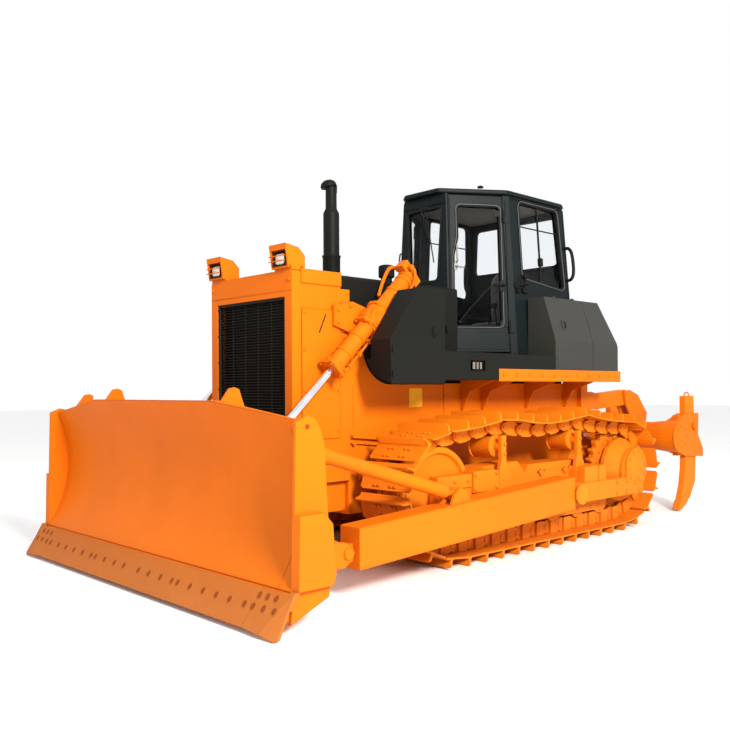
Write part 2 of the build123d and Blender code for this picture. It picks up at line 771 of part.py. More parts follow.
def wall_window(plane, points, radius, mode=Mode.SUBTRACT, depth=80.0, start=0.0):
    """A rounded window through a wall; points are (along the wall, up the wall)."""
    with BuildSketch(plane.offset(start)) as opening:
        with BuildLine():
            Polyline(*rounded(points, radius), close=True)
        make_face()
    extrude(opening.sketch, amount=depth, both=mode == Mode.SUBTRACT, mode=mode)


front_plane = face_plane(0, -1, 0, 1)
front_span = 2 * cab_low[0][0]
front_window = ((148, 705), (front_span - 148, 705), (front_span - 108, 1428), (108, 1428))


def front_section(z):
    a, b = corner(0, z, -1), corner(0, z, 1)
    c, d = corner(1, z, 1), corner(1, z, -1)
    ai, bi = inset(0, z, -1, wall), inset(0, z, 1, wall)
    ci, di = inset(1, z, 1, wall), inset(1, z, -1, wall)
    return [a, b, along(b, c, front_post), along(bi, ci, front_post), bi,
            ai, along(ai, di, front_post), along(a, d, front_post)]


with BuildPart() as cab_front:
    wall_slab(front_section, cab_low_z, cab_high_z)
    wall_window(front_plane, front_window, 50)
save(cab_front, "cab_front")

side_plane = face_plane(1, 1, 2, 1)
side_window = ((137, 757), (850, 674), (786, 1515), (128, 1515))


def side_section(z):
    b, c, d = corner(0, z, 1), corner(1, z, 1), corner(2, z, 1)
    bi, ci, di = inset(0, z, 1, wall), inset(1, z, 1, wall), inset(2, z, 1, wall)
    return [along(c, b, rear_post), c, d, (di[0], d[1]), ci, along(ci, bi, rear_post)]


# Door hinges: an axis just outside the gap between door and rear post, along the leaning post
hinge_offset = 16.0
hinge_radius = 14.0
hinge_pin = 8.0
hinge_steps = (200.0, 1280.0)
hinge_length = 60.0


def hinge_point(z):
    b, c = corner(0, z, 1), corner(1, z, 1)
    on_wall = along(c, b, rear_post + door_gap / 2)
    length = hypot(c[0] - b[0], c[1] - b[1])
    return Vector(on_wall[0] + (c[1] - b[1]) / length * hinge_offset,
                  on_wall[1] - (c[0] - b[0]) / length * hinge_offset, z)


hinge_axis = (hinge_point(cab_high_z) - hinge_point(cab_low_z)).normalized()
wall_way = Vector(cab_low[1][0] - cab_low[0][0], cab_low[1][1] - cab_low[0][1], 0).normalized()
hinge_plane = Plane(origin=hinge_point(cab_low_z), x_dir=wall_way - hinge_axis * wall_way.dot(hinge_axis),
                    z_dir=hinge_axis)


def knuckle(start, length, reach):
    """A hinge barrel with its strap, which reaches along the wall."""
    with BuildSketch(hinge_plane.offset(start)) as form:
        RegularPolygon(hinge_radius, 8)
        with Locations((reach / 2, hinge_offset - 4)):
            Rectangle(abs(reach), 10)
    extrude(form.sketch, amount=length)


with BuildPart() as cab_side_left:
    wall_slab(side_section, cab_low_z, cab_high_z)
    wall_window(side_plane, side_window, 60)
    for step in hinge_steps:
        knuckle(step, hinge_length, 60)
        with BuildSketch(hinge_plane.offset(step)) as disc:
            Circle(hinge_pin)
        extrude(disc.sketch, amount=2 * hinge_length)
cab_sides = both_sides(cab_side_left)
save(cab_sides, "cab_sides")

rear_plane = face_plane(2, 1, 2, -1)
rear_span = 2 * cab_low[2][0]
rear_window = ((125, 950), (rear_span - 125, 950), (rear_span - 165, 1470), (165, 1470))


def rear_section(z):
    d, e = corner(2, z, 1), corner(2, z, -1)
    di, ei = inset(2, z, 1, wall), inset(2, z, -1, wall)
    return [(di[0], d[1]), di, ei, (ei[0], e[1])]


with BuildPart() as cab_rear:
    wall_slab(rear_section, cab_low_z, cab_high_z)
    wall_window(rear_plane, rear_window, 60)
save(cab_rear, "cab_rear")


# Roof: its corners stand out from the walls by roof_reach and lean in towards the top
roof_inward = ((-0.6, 1.0), (-1.0, 0.3), (-1.0, -1.0))
roof_edge = 20.0


def roof_outline(lean):
    left = []
    for (x, y), reach, inward in zip(cab_high, roof_reach, roof_inward):
        left.append((x + reach[0] + lean * inward[0], y + reach[1] + lean * inward[1]))
    return left + [(-x, y) for x, y in reversed(left)]


with BuildPart() as cab_roof:
    wall_slab(lambda z: roof_outline(0), cab_high_z, roof_top - roof_edge)
    wall_slab(lambda z: roof_outline((z - roof_top + roof_edge) * 1.4), roof_top - roof_edge, roof_top)
save(cab_roof, "cab_roof")

with BuildPart() as cab_floor:
    with BuildSketch(Plane.XY.offset(deck_z)) as outline:
        with BuildLine():
            Polyline(*cab_low, *[(-x, y) for x, y in reversed(cab_low)], close=True)
        make_face()
    extrude(outline.sketch, amount=cab_low_z - deck_z)
    block((-hull_half, hull_half), (cab_low[0][1], cab_low[2][1]), (case_top, deck_z))
save(cab_floor, "cab_floor")

glass = 8.0


def pane(points, margin=0.5):
    centre = (sum(p[0] for p in points) / len(points), sum(p[1] for p in points) / len(points))
    return [(p[0] + (margin if p[0] < centre[0] else -margin),
             p[1] + (margin if p[1] < centre[1] else -margin)) for p in points]


with BuildPart() as cab_glass:
    wall_window(front_plane, pane(front_window), 50, Mode.ADD, glass, -30)
    wall_window(side_plane, pane(side_window), 60, Mode.ADD, glass, -30)
    right_window = [(cab_low[2][1] - cab_low[1][1] - u, v) for u, v in reversed(pane(side_window))]
    wall_window(face_plane(2, -1, 1, -1), right_window, 60, Mode.ADD, glass, -30)
    wall_window(rear_plane, pane(rear_window), 60, Mode.ADD, glass, -30)
save(cab_glass, "cab_glass")

# Doors on the slanted front faces, hinged on the rear door posts
door_plane = face_plane(0, 1, 1, 1)
door_low = cab_low_z + 15.0
door_high = cab_high_z - 15.0


def door_section(z):
    b, c = corner(0, z, 1), corner(1, z, 1)
    bi, ci = inset(0, z, 1, wall), inset(1, z, 1, wall)
    start, end = front_post + door_gap, rear_post + door_gap
    return [along(b, c, start), along(c, b, end), along(ci, bi, end), along(bi, ci, start)]


door_window = ((56, 257), (556, 257), (545, 1440), (104, 1440), (108, 1120), (66, 950))
with BuildPart() as door_left:
    wall_slab(door_section, door_low, door_high)
    wall_window(door_plane, door_window, 45)
    for step in hinge_steps:
        knuckle(step + hinge_length + 1, hinge_length, -90)
        with BuildSketch(hinge_plane.offset(step)) as disc:
            Circle(hinge_pin + 0.05)
        extrude(disc.sketch, amount=3 * hinge_length, mode=Mode.SUBTRACT)
door_right = mirrored(door_left)
save(door_left, "door_left")
save(door_right, "door_right")
with BuildPart() as door_glass_left:
    wall_window(door_plane, pane(door_window), 45, Mode.ADD, glass, -30)
door_glass_right = mirrored(door_glass_left)
save(door_glass_left, "door_glass_left")
save(door_glass_right, "door_glass_right")

# Operator's seat and control console
with BuildPart() as seat:
    block((-250, 250), (560, 1040), (cab_low_z, 2020))
    block((-260, 260), (500, 1060), (2020, 2150))
    side_slab(((940, 2150), (900, 2150), (990, 2780), (1060, 2780), (1060, 2150)), -240, 480)
save(seat, "seat")
with BuildPart() as console:
    side_slab(((-330, cab_low_z), (-290, 2330), (-180, 2400), (-60, 2330), (-80, cab_low_z)), -150, 300)
save(console, "console")

# Push arms: box beam, front joint lug and rear boss round the pivot pin
arm_slope = degrees(atan2(arm_rear[1] - arm_front[1], arm_rear[0] - arm_front[0]))
lug_pin = (-2649.0, 338.0)
with BuildPart() as push_arm_left:
    half = arm_height / 2
    side_slab(((arm_front[0], arm_front[1] - half), (arm_front[0], arm_front[1] + half),
               (arm_rear[0], arm_rear[1] + half),
               (arm_rear[0], arm_rear[1] - half)), arm_inner, arm_width)
    block((arm_inner + 20, arm_inner + arm_width - 20), (arm_rear[0], pivot_y), (pivot_z - 95, pivot_z + 95))
    boss(pivot_y, pivot_z, 95, arm_inner + 20, arm_inner + arm_width - 20, 24)
    cross_pin(pivot_y, pivot_z, pivot_pin + 0.05, arm_inner - 1, arm_inner + arm_width + 1,
              mode=Mode.SUBTRACT)
    arm_mid = arm_inner + arm_width / 2
    block((arm_mid - 28, arm_mid + 28), (lug_pin[0], arm_front[0]), (lug_pin[1] - 60, lug_pin[1] + 60))
    boss(*lug_pin, 60, arm_mid - 28, arm_mid + 28)
    boss(*lug_pin, 35.05, arm_mid - 29, arm_mid + 29, mode=Mode.SUBTRACT)
    brace_pin = (-1532.0, 629.0)
    for x in (arm_inner + 30, arm_inner + 145):
        side_slab(((-1640, 560), (-1600, 640), (-1532, 690), (-1470, 660), (-1400, 570), (-1400, 430),
                   (-1640, 430)), x, 25)
push_arms = both_sides(push_arm_left)
save(push_arms, "push_arms")

# Brace on the left, tilt cylinder on the right
brace_front = (-3000.0, 1058.0)
arm_mid = arm_inner + arm_width / 2


def strut(start, end, radius, x, trim_start, trim_end, sides=0):
    """A bar between two (y, z) points, cut back at both ends: round, or in flat sides."""
    length = hypot(end[0] - start[0], end[1] - start[1]) - trim_start - trim_end
    direction = Vector(0, end[0] - start[0], end[1] - start[1]).normalized()
    base = Plane(origin=Vector(x, *start) + direction * trim_start, x_dir=(1, 0, 0), z_dir=direction)
    if sides:
        faceted(((0, radius), (length, radius)), base, sides)
    else:
        with BuildSketch(base) as disc:
            Circle(radius)
        extrude(disc.sketch, amount=length)


with BuildPart() as brace:
    strut(brace_front, brace_pin, 49, arm_mid, 110, 110, 16)
    for near, far in ((brace_front, brace_pin), (brace_pin, brace_front)):
        strut(near, between(near, far, 0.09), 27, arm_mid, 0, 0, 12)
        boss(*near, 55, arm_mid - 28, arm_mid + 28)
    boss(*brace_front, 25, arm_mid - 31, arm_mid + 31)
    boss(*brace_pin, 25, arm_mid - 45, arm_mid + 45)
save(brace, "brace")
with BuildPart() as tilt_cylinder:
    strut(brace_front, brace_pin, 30, -arm_mid, 0, 300, 12)
    strut(between(brace_front, brace_pin, 0.3), brace_pin, 80, -arm_mid, 0, 110, 16)
    strut(brace_front, brace_pin, 27, -arm_mid, 1100, 0, 12)
    for near in (brace_front, brace_pin):
        boss(*near, 55, -arm_mid - 28, -arm_mid + 28)
    boss(*brace_front, 25, -arm_mid - 31, -arm_mid + 31)
    boss(*brace_pin, 25, -arm_mid - 45, -arm_mid + 45)
save(tilt_cylinder, "tilt_cylinder")

# Blade: curved mouldboard with its lower box, end plates, ribs and brackets
edge_toe = (mould_foot[0] + edge_low[0] - edge_top[0], edge_low[1])
lower_box = (between(edge_toe, mould_foot, 0.35), (-3385, 80), (-3085, 190), (-3050, 300), (-3050, 440),
             (-3105, 470))
with BuildPart() as blade:
    with BuildSketch(Plane.YZ.offset(-blade_half + blade_plate)):
        with BuildLine():
            ThreePointArc((mould_top_y, blade_top), (-3156, 800), mould_foot)
            Polyline(mould_foot, *lower_box)
            ThreePointArc(lower_box[-1], (-3128, 800), (-3215, 1240))
            Polyline((-3215, 1240), (mould_top_y + 75, blade_top), (mould_top_y, blade_top))
        make_face()
    extrude(amount=2 * (blade_half - blade_plate))
    end_outline = ((-3320, blade_end_top), (mould_foot[0] + 2, mould_foot[1]), (mould_foot[0] - 19, 65),
                   (-3077, 184), (-3051, 311), (-3082, 709),
                   (-3105, 1103), (-3129, 1195), (-3180, 1270), (-3236, 1282))
    with BuildSketch(Plane.XZ.offset(3000)) as corners:
        for side in (-1, 1):
            with BuildLine():
                Polyline((side * blade_flat, blade_top + 1), (side * (blade_half + 1), blade_end_top - 1),
                         (side * (blade_half + 1), blade_top + 1), close=True)
            make_face()
    extrude(corners.sketch, amount=500, mode=Mode.SUBTRACT)
    for x0 in (-blade_half, blade_half - blade_plate):
        side_slab(end_outline, x0, blade_plate)
    doubler = ((-3341, 262), (-3332, 703), (-3150, 703), (-3085, 632), (-3060, 330), (-3082, 262))
    for x0 in (-blade_half - doubler_width, blade_half):
        side_slab(doubler, x0, doubler_width)
    for x, low, high, rear in ((1 - blade_flat, 600, blade_top + 88, -3040),
                               (blade_flat - 1, 600, blade_top + 88, -3040),
                              (390 - blade_half, 900, blade_top + 42, -3085)):
        side_slab(((-3249, high - 110), (-3172, high - 8), (-3134, high), (-3100, high - 14),
                   (rear - 19, high - 130),
                   (rear, low + 100), (rear - 40, low), (-3150, low), (-3190, 1150)), x - 13, 26)
    for side in (-1, 1):
        for offset in (-46, 46):
            side_slab(((-3165, 1030), (-3050, 960), (lift_eye[0] + 20, lift_eye[1] + 62),
                       (lift_eye[0] + 65, lift_eye[1]),
                       (lift_eye[0] + 20, lift_eye[1] - 62), (-3040, 720), (-3130,
                                                                            680)),
                                                                            side * lift_x + offset - 12, 24)
        for offset in (-55, 31):
            x0 = side * arm_mid + offset
            side_slab(((-3090, 260), (-3090, 470), (-2680, 420), (-2612, 380), (-2590, 338), (-2612, 290),
                       (-2680, 250)), x0, 24)
            side_slab(((-3162, 980), (-3215, 1180), (-3010, 1140), (-2940, 1090), (-2940, 1030),
                       (-3010, 980)), x0, 24)
        boss(*lug_pin, 35, *sorted((side * (arm_mid - 31), side * (arm_mid + 31))))
save(blade, "blade")

# Cutting edges and end bits: plates on one slanted plane, whose sketch y runs down the slope
down_slope = Vector(0, edge_low[0] - edge_top[0], edge_low[1] - edge_top[1]).normalized()
edge_plane = Plane(origin=(0, *edge_top), x_dir=(1, 0, 0), z_dir=Vector(1, 0, 0).cross(down_slope))


def edge_plate(points):
    with BuildSketch(edge_plane) as outline:
        with BuildLine():
            Polyline(*points, close=True)
        make_face()
    extrude(outline.sketch, amount=edge_thickness)


with BuildPart() as cutting_edges:
    for x0, x1 in ((-end_bit_inner, -1.0), (1.0, end_bit_inner)):
        edge_plate(((x0, 0), (x1, 0), (x1, edge_slope), (x0, edge_slope)))
save(cutting_edges, "cutting_edges")
bit_start = end_bit_inner + 2
bit_taper = 22.0
bit_corner = 30.0
bit_bevel = 45.0
bit_thickness = 50.0
foot_fall = (end_bit_drop - edge_slope) / (end_bit_reach - bit_corner - bit_start)


def bit_outline(start, rise):
    """An end bit from |x| = start outwards, with its lower edges raised by rise."""
    low = end_bit_drop - rise
    outer = end_bit_reach - bit_taper * rise / (end_bit_drop - bit_corner)
    foot_x = outer - bit_corner
    return ((start, 0), (end_bit_reach - bit_taper, 0), (outer, low - bit_corner), (foot_x, low),
            (start, low - foot_fall * (foot_x - start)))


with BuildPart() as end_bits:
    for side in (-1, 1):
        edge_plate([(side * x, v) for x, v in bit_outline(bit_start, 0)])
        rims = []
        for depth, rise in ((0, 0), (bit_thickness, bit_bevel)):
            with BuildSketch(edge_plane.offset(depth)) as rim:
                with BuildLine():
                    Polyline(*[(side * x, v) for x, v in bit_outline(blade_half + 2, rise)], close=True)
                make_face()
            rims.append(rim.sketch.faces()[0])
        loft(rims, ruled=True)
save(end_bits, "end_bits")

# Blade lift cylinders
lift_length = hypot(lift_eye[0] - lift_trunnion[0], lift_eye[1] - lift_trunnion[1])
gland = between(lift_trunnion, lift_eye, gland_reach / lift_length)
cap = between(lift_trunnion, lift_eye, -cap_reach / lift_length)
bracket_rise = 32.0
bracket_outline = ((-2030, 1950), (-2030, 2110), (-1840, 2150),
                   (lift_trunnion[0] + 45, lift_trunnion[1] + 82),
                   (lift_trunnion[0] + 85, lift_trunnion[1]), (lift_trunnion[0] + 45,
                                                               lift_trunnion[1] - 82), (-1840, 1890))
with BuildPart() as lift_brackets:
    for side in (-1, 1):
        x0, x1 = sorted((side * (hull_half + panel_rise), side * (hull_half + panel_rise + bracket_rise)))
        side_slab(bracket_outline, x0, x1 - x0)
        cross_pin(*lift_trunnion, trunnion_radius + 0.05, x0 - 1, x1 + 1, mode=Mode.SUBTRACT)
        side_slab(((guard_rear - 100, 1900), (guard_rear - 100, 2140), (guard_rear, 2140),
                   (guard_rear, 1900)),
                  min(side * hull_half, side * (hull_half + panel_rise)), panel_rise)
save(lift_brackets, "lift_brackets")
head_outline = []
for out, rise in ((-40, -100), (44, -100), (44, 130), (-40, 130)):
    middle = between(cap, gland, -out / (gland_reach + cap_reach))
    side_step = between((0, 0), (lift_eye[1] - lift_trunnion[1], lift_trunnion[0] - lift_eye[0]),
                        rise / lift_length)
    head_outline.append((middle[0] + side_step[0], middle[1] + side_step[1]))
with BuildPart() as lift_barrel_left:
    strut(cap, gland, barrel_radius, lift_x, 0, 0, 16)
    strut(gland, cap, barrel_radius + 16, lift_x, 0, gland_reach + cap_reach - 60, 16)
    side_slab(head_outline, lift_x - 45, 90)
    boss(*lift_trunnion, 92, lift_x - 78, lift_x + 78, 16)
    boss(*lift_trunnion, 60, lift_x + 78, lift_x + 98)
    cross_pin(*lift_trunnion, trunnion_radius, hull_half + panel_rise + 2, lift_x)
    with BuildSketch(Plane(origin=(lift_x, *gland), x_dir=(1, 0, 0),
                           z_dir=Vector(0, cap[0] - gland[0], cap[1] - gland[1]))) as hollow:
        Circle(rod_radius + 0.05)
    extrude(hollow.sketch, amount=gland_reach + cap_reach - 20, mode=Mode.SUBTRACT)
lift_barrel_right = mirrored(lift_barrel_left)
save(lift_barrel_left, "lift_barrel_left")
save(lift_barrel_right, "lift_barrel_right")
with BuildPart() as lift_rod_left:
    strut(lift_eye, lift_trunnion, rod_radius, lift_x, 0, gland_reach - rod_inside)
    boss(*lift_eye, 52, lift_x - 28, lift_x + 28, 16)
lift_rod_right = mirrored(lift_rod_left)
save(lift_rod_left, "lift_rod_left")
save(lift_rod_right, "lift_rod_right")

# Ripper: brackets on the rear case, lower frame, upper links, beam with pockets, shanks
link_inner, link_outer = 520.0, 600.0
lower_inner, lower_outer = 440.0, 520.0
ear = 25.0
lower_rear = (lower_pin[0] + link_step[0], lower_pin[1] + link_step[1])
upper_rear = (upper_pin[0] + link_step[0], upper_pin[1] + link_step[1])
with BuildPart() as ripper_brackets:
    for side in (-1, 1):
        for x0 in (link_inner - 5 - ear, link_outer + 5):
            side_slab(((case_rear, 1200), (case_rear, 1400), (1620, 1400),
                       (upper_pin[0] + 20, upper_pin[1] + 80),
                       (upper_pin[0] + 75, upper_pin[1]), (upper_pin[0] + 30,
                                                           upper_pin[1] - 75)), min(side * x0,
                                                                                    side * (x0 + ear)), ear)
        for x0 in (lower_inner - 5 - ear, lower_outer + 5):
            side_slab(((case_rear, 560), (case_rear, 860), (lower_pin[0] + 20, lower_pin[1] + 80),
                       (lower_pin[0] + 75, lower_pin[1]), (lower_pin[0] + 30,
                                                           lower_pin[1] - 75)), min(side * x0,
                                                                                    side * (x0 + ear)), ear)
        cross_pin(*upper_pin, 35, *sorted((side * (link_inner - 5), side * (link_outer + 5))))
        cross_pin(*lower_pin, 35, *sorted((side * (lower_inner - 5), side * (lower_outer + 5))))
        for offset in (-62, 42):
            side_slab(((case_rear, 1250), (case_rear, 1420), (rip_cyl_pin[0] + 30, rip_cyl_pin[1] + 45),
                       (rip_cyl_pin[0] + 50, rip_cyl_pin[1]),
                       (rip_cyl_pin[0] + 20, rip_cyl_pin[1] - 45)), side * rip_cyl_x + offset, 20)
        cross_pin(*rip_cyl_pin, 25, side * rip_cyl_x - 42, side * rip_cyl_x + 42)
        block(sorted((side * case_half, side * (link_outer + 5 + ear))), (case_rear - 120, case_rear),
              (1180, 1480))
save(ripper_brackets, "ripper_brackets")


def link_plate(start, end, half, x_start, width, steps=5):
    """A flat link between two (y, z) points, its ends rounded in short flats."""
    turn = degrees(atan2(end[1] - start[1], end[0] - start[0]))
    points = []
    for tip, swing in ((end, turn - 90), (start, turn + 90)):
        points += [rotated((tip[0] + half, tip[1]), tip, swing + k * 180 / steps) for k in range(steps + 1)]
    side_slab(points, x_start, width)


with BuildPart() as ripper_links:
    for side in (-1, 1):
        x0 = link_inner if side > 0 else -link_outer
        link_plate(upper_pin, upper_rear, 88, x0, link_outer - link_inner)
        cross_pin(*upper_pin, 35.05, x0 - 1, x0 + link_outer - link_inner + 1, mode=Mode.SUBTRACT)
        boss(*upper_rear, 36.4, x0 - 1, x0 + link_outer - link_inner + 1, mode=Mode.SUBTRACT)
save(ripper_links, "ripper_links")

with BuildPart() as ripper_frame:
    for side in (-1, 1):
        x0 = min(side * lower_inner, side * lower_outer)
        link_plate(lower_pin, lower_rear, 85, x0, lower_outer - lower_inner)
        for offset in (-60, 36):
            side_slab(((rip_eye[0] - 45, rip_eye[1] - 20), (rip_eye[0] - 20, rip_eye[1] + 45),
                       (lower_rear[0], lower_rear[1] + 45),
                       (lower_rear[0], lower_rear[1] - 45), (rip_eye[0],
                                                             rip_eye[1] - 50)), side * rip_cyl_x + offset,
                                                             24)
    boss(*lower_rear, 36, -lower_inner, lower_inner)
    for side in (-1, 1):
        for y, z in (lower_pin, lower_rear):
            x0 = min(side * lower_inner, side * lower_outer)
            cross_pin(y, z, 35.05, x0 - 1, x0 + lower_outer - lower_inner + 1, mode=Mode.SUBTRACT)
save(ripper_frame, "ripper_frame")

with BuildPart() as ripper_beam:
    end_rings = ((ripper_half, ripper_end_radius), (shank_x - 60, ripper_end_radius),
                 (shank_x - 240, ripper_radius))
    faceted([(-x, r) for x, r in end_rings] + list(reversed(end_rings)), across(*beam_axis))
    for x in (-shank_x, 0.0, shank_x):
        for x0 in (x - shank_thickness / 2 - ear, x + shank_thickness / 2):
            side_slab(((2703, 1060), (2950, 1137), (pocket_rear - 111, 1137), (pocket_rear - 126, 881),
                       (pocket_rear, 709), (pocket_rear, 613), (2950, 640), (2703, 700)), x0, ear)
        block((x - shank_thickness / 2, x + shank_thickness / 2), (2800, 2970), (650, 1120))
        block((x - shank_thickness / 2, x + shank_thickness / 2), (pocket_rear - 121, pocket_rear - 6),
              (618, 704))
    for side in (-1, 1):
        for x0 in (link_inner - 5 - ear, link_outer + 5):
            x_low = x0 if side > 0 else -x0 - ear
            side_slab(((upper_rear[0] - 60, upper_rear[1] + 70), (upper_rear[0] + 60, upper_rear[1] + 85),
                       (2610, 1360), (2730, 1229),
                       (2817, 1145), (2780, 1000), (2560, 960), (upper_rear[0] - 20,
                                                                 upper_rear[1] - 90)), x_low, ear)
        x_low = lower_outer + 5 if side > 0 else -lower_outer - 5 - ear
        side_slab(((lower_rear[0] - 70, lower_rear[1]), (lower_rear[0] - 20, lower_rear[1] + 75),
                   (2640, 960), (2703, 760),
                   (lower_rear[0] + 10, lower_rear[1] - 75)), x_low, ear)
        boss(*upper_rear, 35, *sorted((side * (link_inner - 5), side * (link_outer + 5))))
        cross_pin(*lower_rear, 35, *sorted((side * (lower_inner + 12), side * (lower_outer + 5))))
    for x in (-shank_x, 0.0, shank_x):
        block((x - shank_thickness / 2, x + shank_thickness / 2), (2970, 3260), (600, 1150),
              mode=Mode.SUBTRACT)
save(ripper_beam, "ripper_beam")

shank_outline = ((2975, 1342), (3187, 1342), (3202, 1113), (3236, 632), (3218, 325), (3150, 230),
                 (3083, 136), (2860, 22), (2790, 18),
                 (2850, 120), (2930, 290), (2972, 500), (2982, 643))
with BuildPart() as shanks:
    for x in (-shank_x, 0.0, shank_x):
        side_slab(shank_outline, x - shank_thickness / 2, shank_thickness)
save(shanks, "shanks")

rip_length = hypot(rip_eye[0] - rip_cyl_pin[0], rip_eye[1] - rip_cyl_pin[1])
rip_gland = between(rip_cyl_pin, rip_eye, 560.0 / rip_length)
rip_inner = between(rip_cyl_pin, rip_eye, (rip_length - 604.0) / rip_length)
with BuildPart() as ripper_barrels:
    for side in (-1, 1):
        x = side * rip_cyl_x
        strut(rip_cyl_pin, rip_gland, 58, x, 50, 0, 16)
        boss(*rip_cyl_pin, 55, x - 36, x + 36)
        cross_pin(*rip_cyl_pin, 25.05, x - 37, x + 37, mode=Mode.SUBTRACT)
        with BuildSketch(Plane(origin=(x, *rip_gland), x_dir=(1, 0, 0),
                               z_dir=Vector(0, rip_cyl_pin[0] - rip_gland[0],
                                            rip_cyl_pin[1] - rip_gland[1]))) as hollow:
            Circle(28.05)
        extrude(hollow.sketch, amount=490, mode=Mode.SUBTRACT)
save(ripper_barrels, "ripper_barrels")
with BuildPart() as ripper_rods:
    for side in (-1, 1):
        x = side * rip_cyl_x
        strut(rip_inner, rip_eye, 28, x, 0, 0)
        boss(*rip_eye, 38, x - 30, x + 30)
save(ripper_rods, "ripper_rods")
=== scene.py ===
import math

import bpy
import numpy as np
from mathutils import Matrix, Vector


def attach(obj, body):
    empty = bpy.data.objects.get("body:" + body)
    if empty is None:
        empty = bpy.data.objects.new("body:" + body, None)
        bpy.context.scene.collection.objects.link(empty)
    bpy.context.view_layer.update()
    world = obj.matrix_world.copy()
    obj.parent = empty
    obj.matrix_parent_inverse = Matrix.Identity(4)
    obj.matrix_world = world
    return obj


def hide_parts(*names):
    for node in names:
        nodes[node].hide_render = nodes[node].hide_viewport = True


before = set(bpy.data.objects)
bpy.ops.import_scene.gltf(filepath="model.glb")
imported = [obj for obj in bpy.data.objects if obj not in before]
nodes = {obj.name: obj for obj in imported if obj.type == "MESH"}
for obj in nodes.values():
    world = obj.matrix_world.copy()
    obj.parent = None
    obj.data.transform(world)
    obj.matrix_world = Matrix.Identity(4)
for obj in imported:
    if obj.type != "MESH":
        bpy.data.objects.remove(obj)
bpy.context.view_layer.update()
print("stage: frame loaded")

# Sizes are in millimetres on the part's own axes, whose origin lies lengthShift behind the frame's.
lengthShift = 83.376


# Materials
def newMaterial(name):
    material = bpy.data.materials.new(name)
    material.use_nodes = True
    tree = material.node_tree
    tree.nodes.clear()
    output = tree.nodes.new("ShaderNodeOutputMaterial")
    shader = tree.nodes.new("ShaderNodeBsdfPrincipled")
    tree.links.new(shader.outputs["BSDF"], output.inputs["Surface"])
    return material, tree, shader


def noiseNode(tree, scale, detail=4.0, roughness=0.55, stretch=None):
    coords = tree.nodes.new("ShaderNodeTexCoord")
    source = coords.outputs["Object"]  # metres
    if stretch is not None:
        mapping = tree.nodes.new("ShaderNodeMapping")
        mapping.inputs["Scale"].default_value = stretch
        tree.links.new(source, mapping.inputs["Vector"])
        source = mapping.outputs["Vector"]
    noise = tree.nodes.new("ShaderNodeTexNoise")
    noise.inputs["Scale"].default_value = scale
    noise.inputs["Detail"].default_value = detail
    noise.inputs["Roughness"].default_value = roughness
    tree.links.new(source, noise.inputs["Vector"])
    return noise.outputs["Fac"]


def waveNode(tree, scale, direction):
    coords = tree.nodes.new("ShaderNodeTexCoord")
    wave = tree.nodes.new("ShaderNodeTexWave")
    wave.inputs["Scale"].default_value = scale
    wave.bands_direction = direction
    tree.links.new(coords.outputs["Object"], wave.inputs["Vector"])
    return wave.outputs["Fac"]


def rampNode(tree, source, stops):
    ramp = tree.nodes.new("ShaderNodeValToRGB")
    for element, (position, colour) in zip(ramp.color_ramp.elements, stops):
        element.position = position
        element.color = (*colour, 1.0)
    tree.links.new(source, ramp.inputs["Fac"])
    return ramp.outputs["Color"]


def mixColour(tree, factor, first, second):
    mix = tree.nodes.new("ShaderNodeMix")
    mix.data_type = "RGBA"
    for socket, value in ((mix.inputs[0], factor), (mix.inputs[6], first), (mix.inputs[7], second)):
        if isinstance(value, tuple):
            socket.default_value = (*value, 1.0)
        else:
            tree.links.new(value, socket)
    return mix.outputs[2]


def rangeNode(tree, source, fromLow, fromHigh, toLow, toHigh):
    node = tree.nodes.new("ShaderNodeMapRange")
    for name, value in zip(("From Min", "From Max", "To Min", "To Max"), (fromLow, fromHigh, toLow, toHigh)):
        node.inputs[name].default_value = value
    tree.links.new(source, node.inputs["Value"])
    return node.outputs["Result"]


def product(tree, first, second):
    node = tree.nodes.new("ShaderNodeMath")
    node.operation = "MULTIPLY"
    tree.links.new(first, node.inputs[0])
    tree.links.new(second, node.inputs[1])
    return node.outputs["Value"]


def bumpNode(tree, source, strength, distance):
    bump = tree.nodes.new("ShaderNodeBump")
    bump.inputs["Strength"].default_value = strength
    bump.inputs["Distance"].default_value = distance
    tree.links.new(source, bump.inputs["Height"])
    return bump


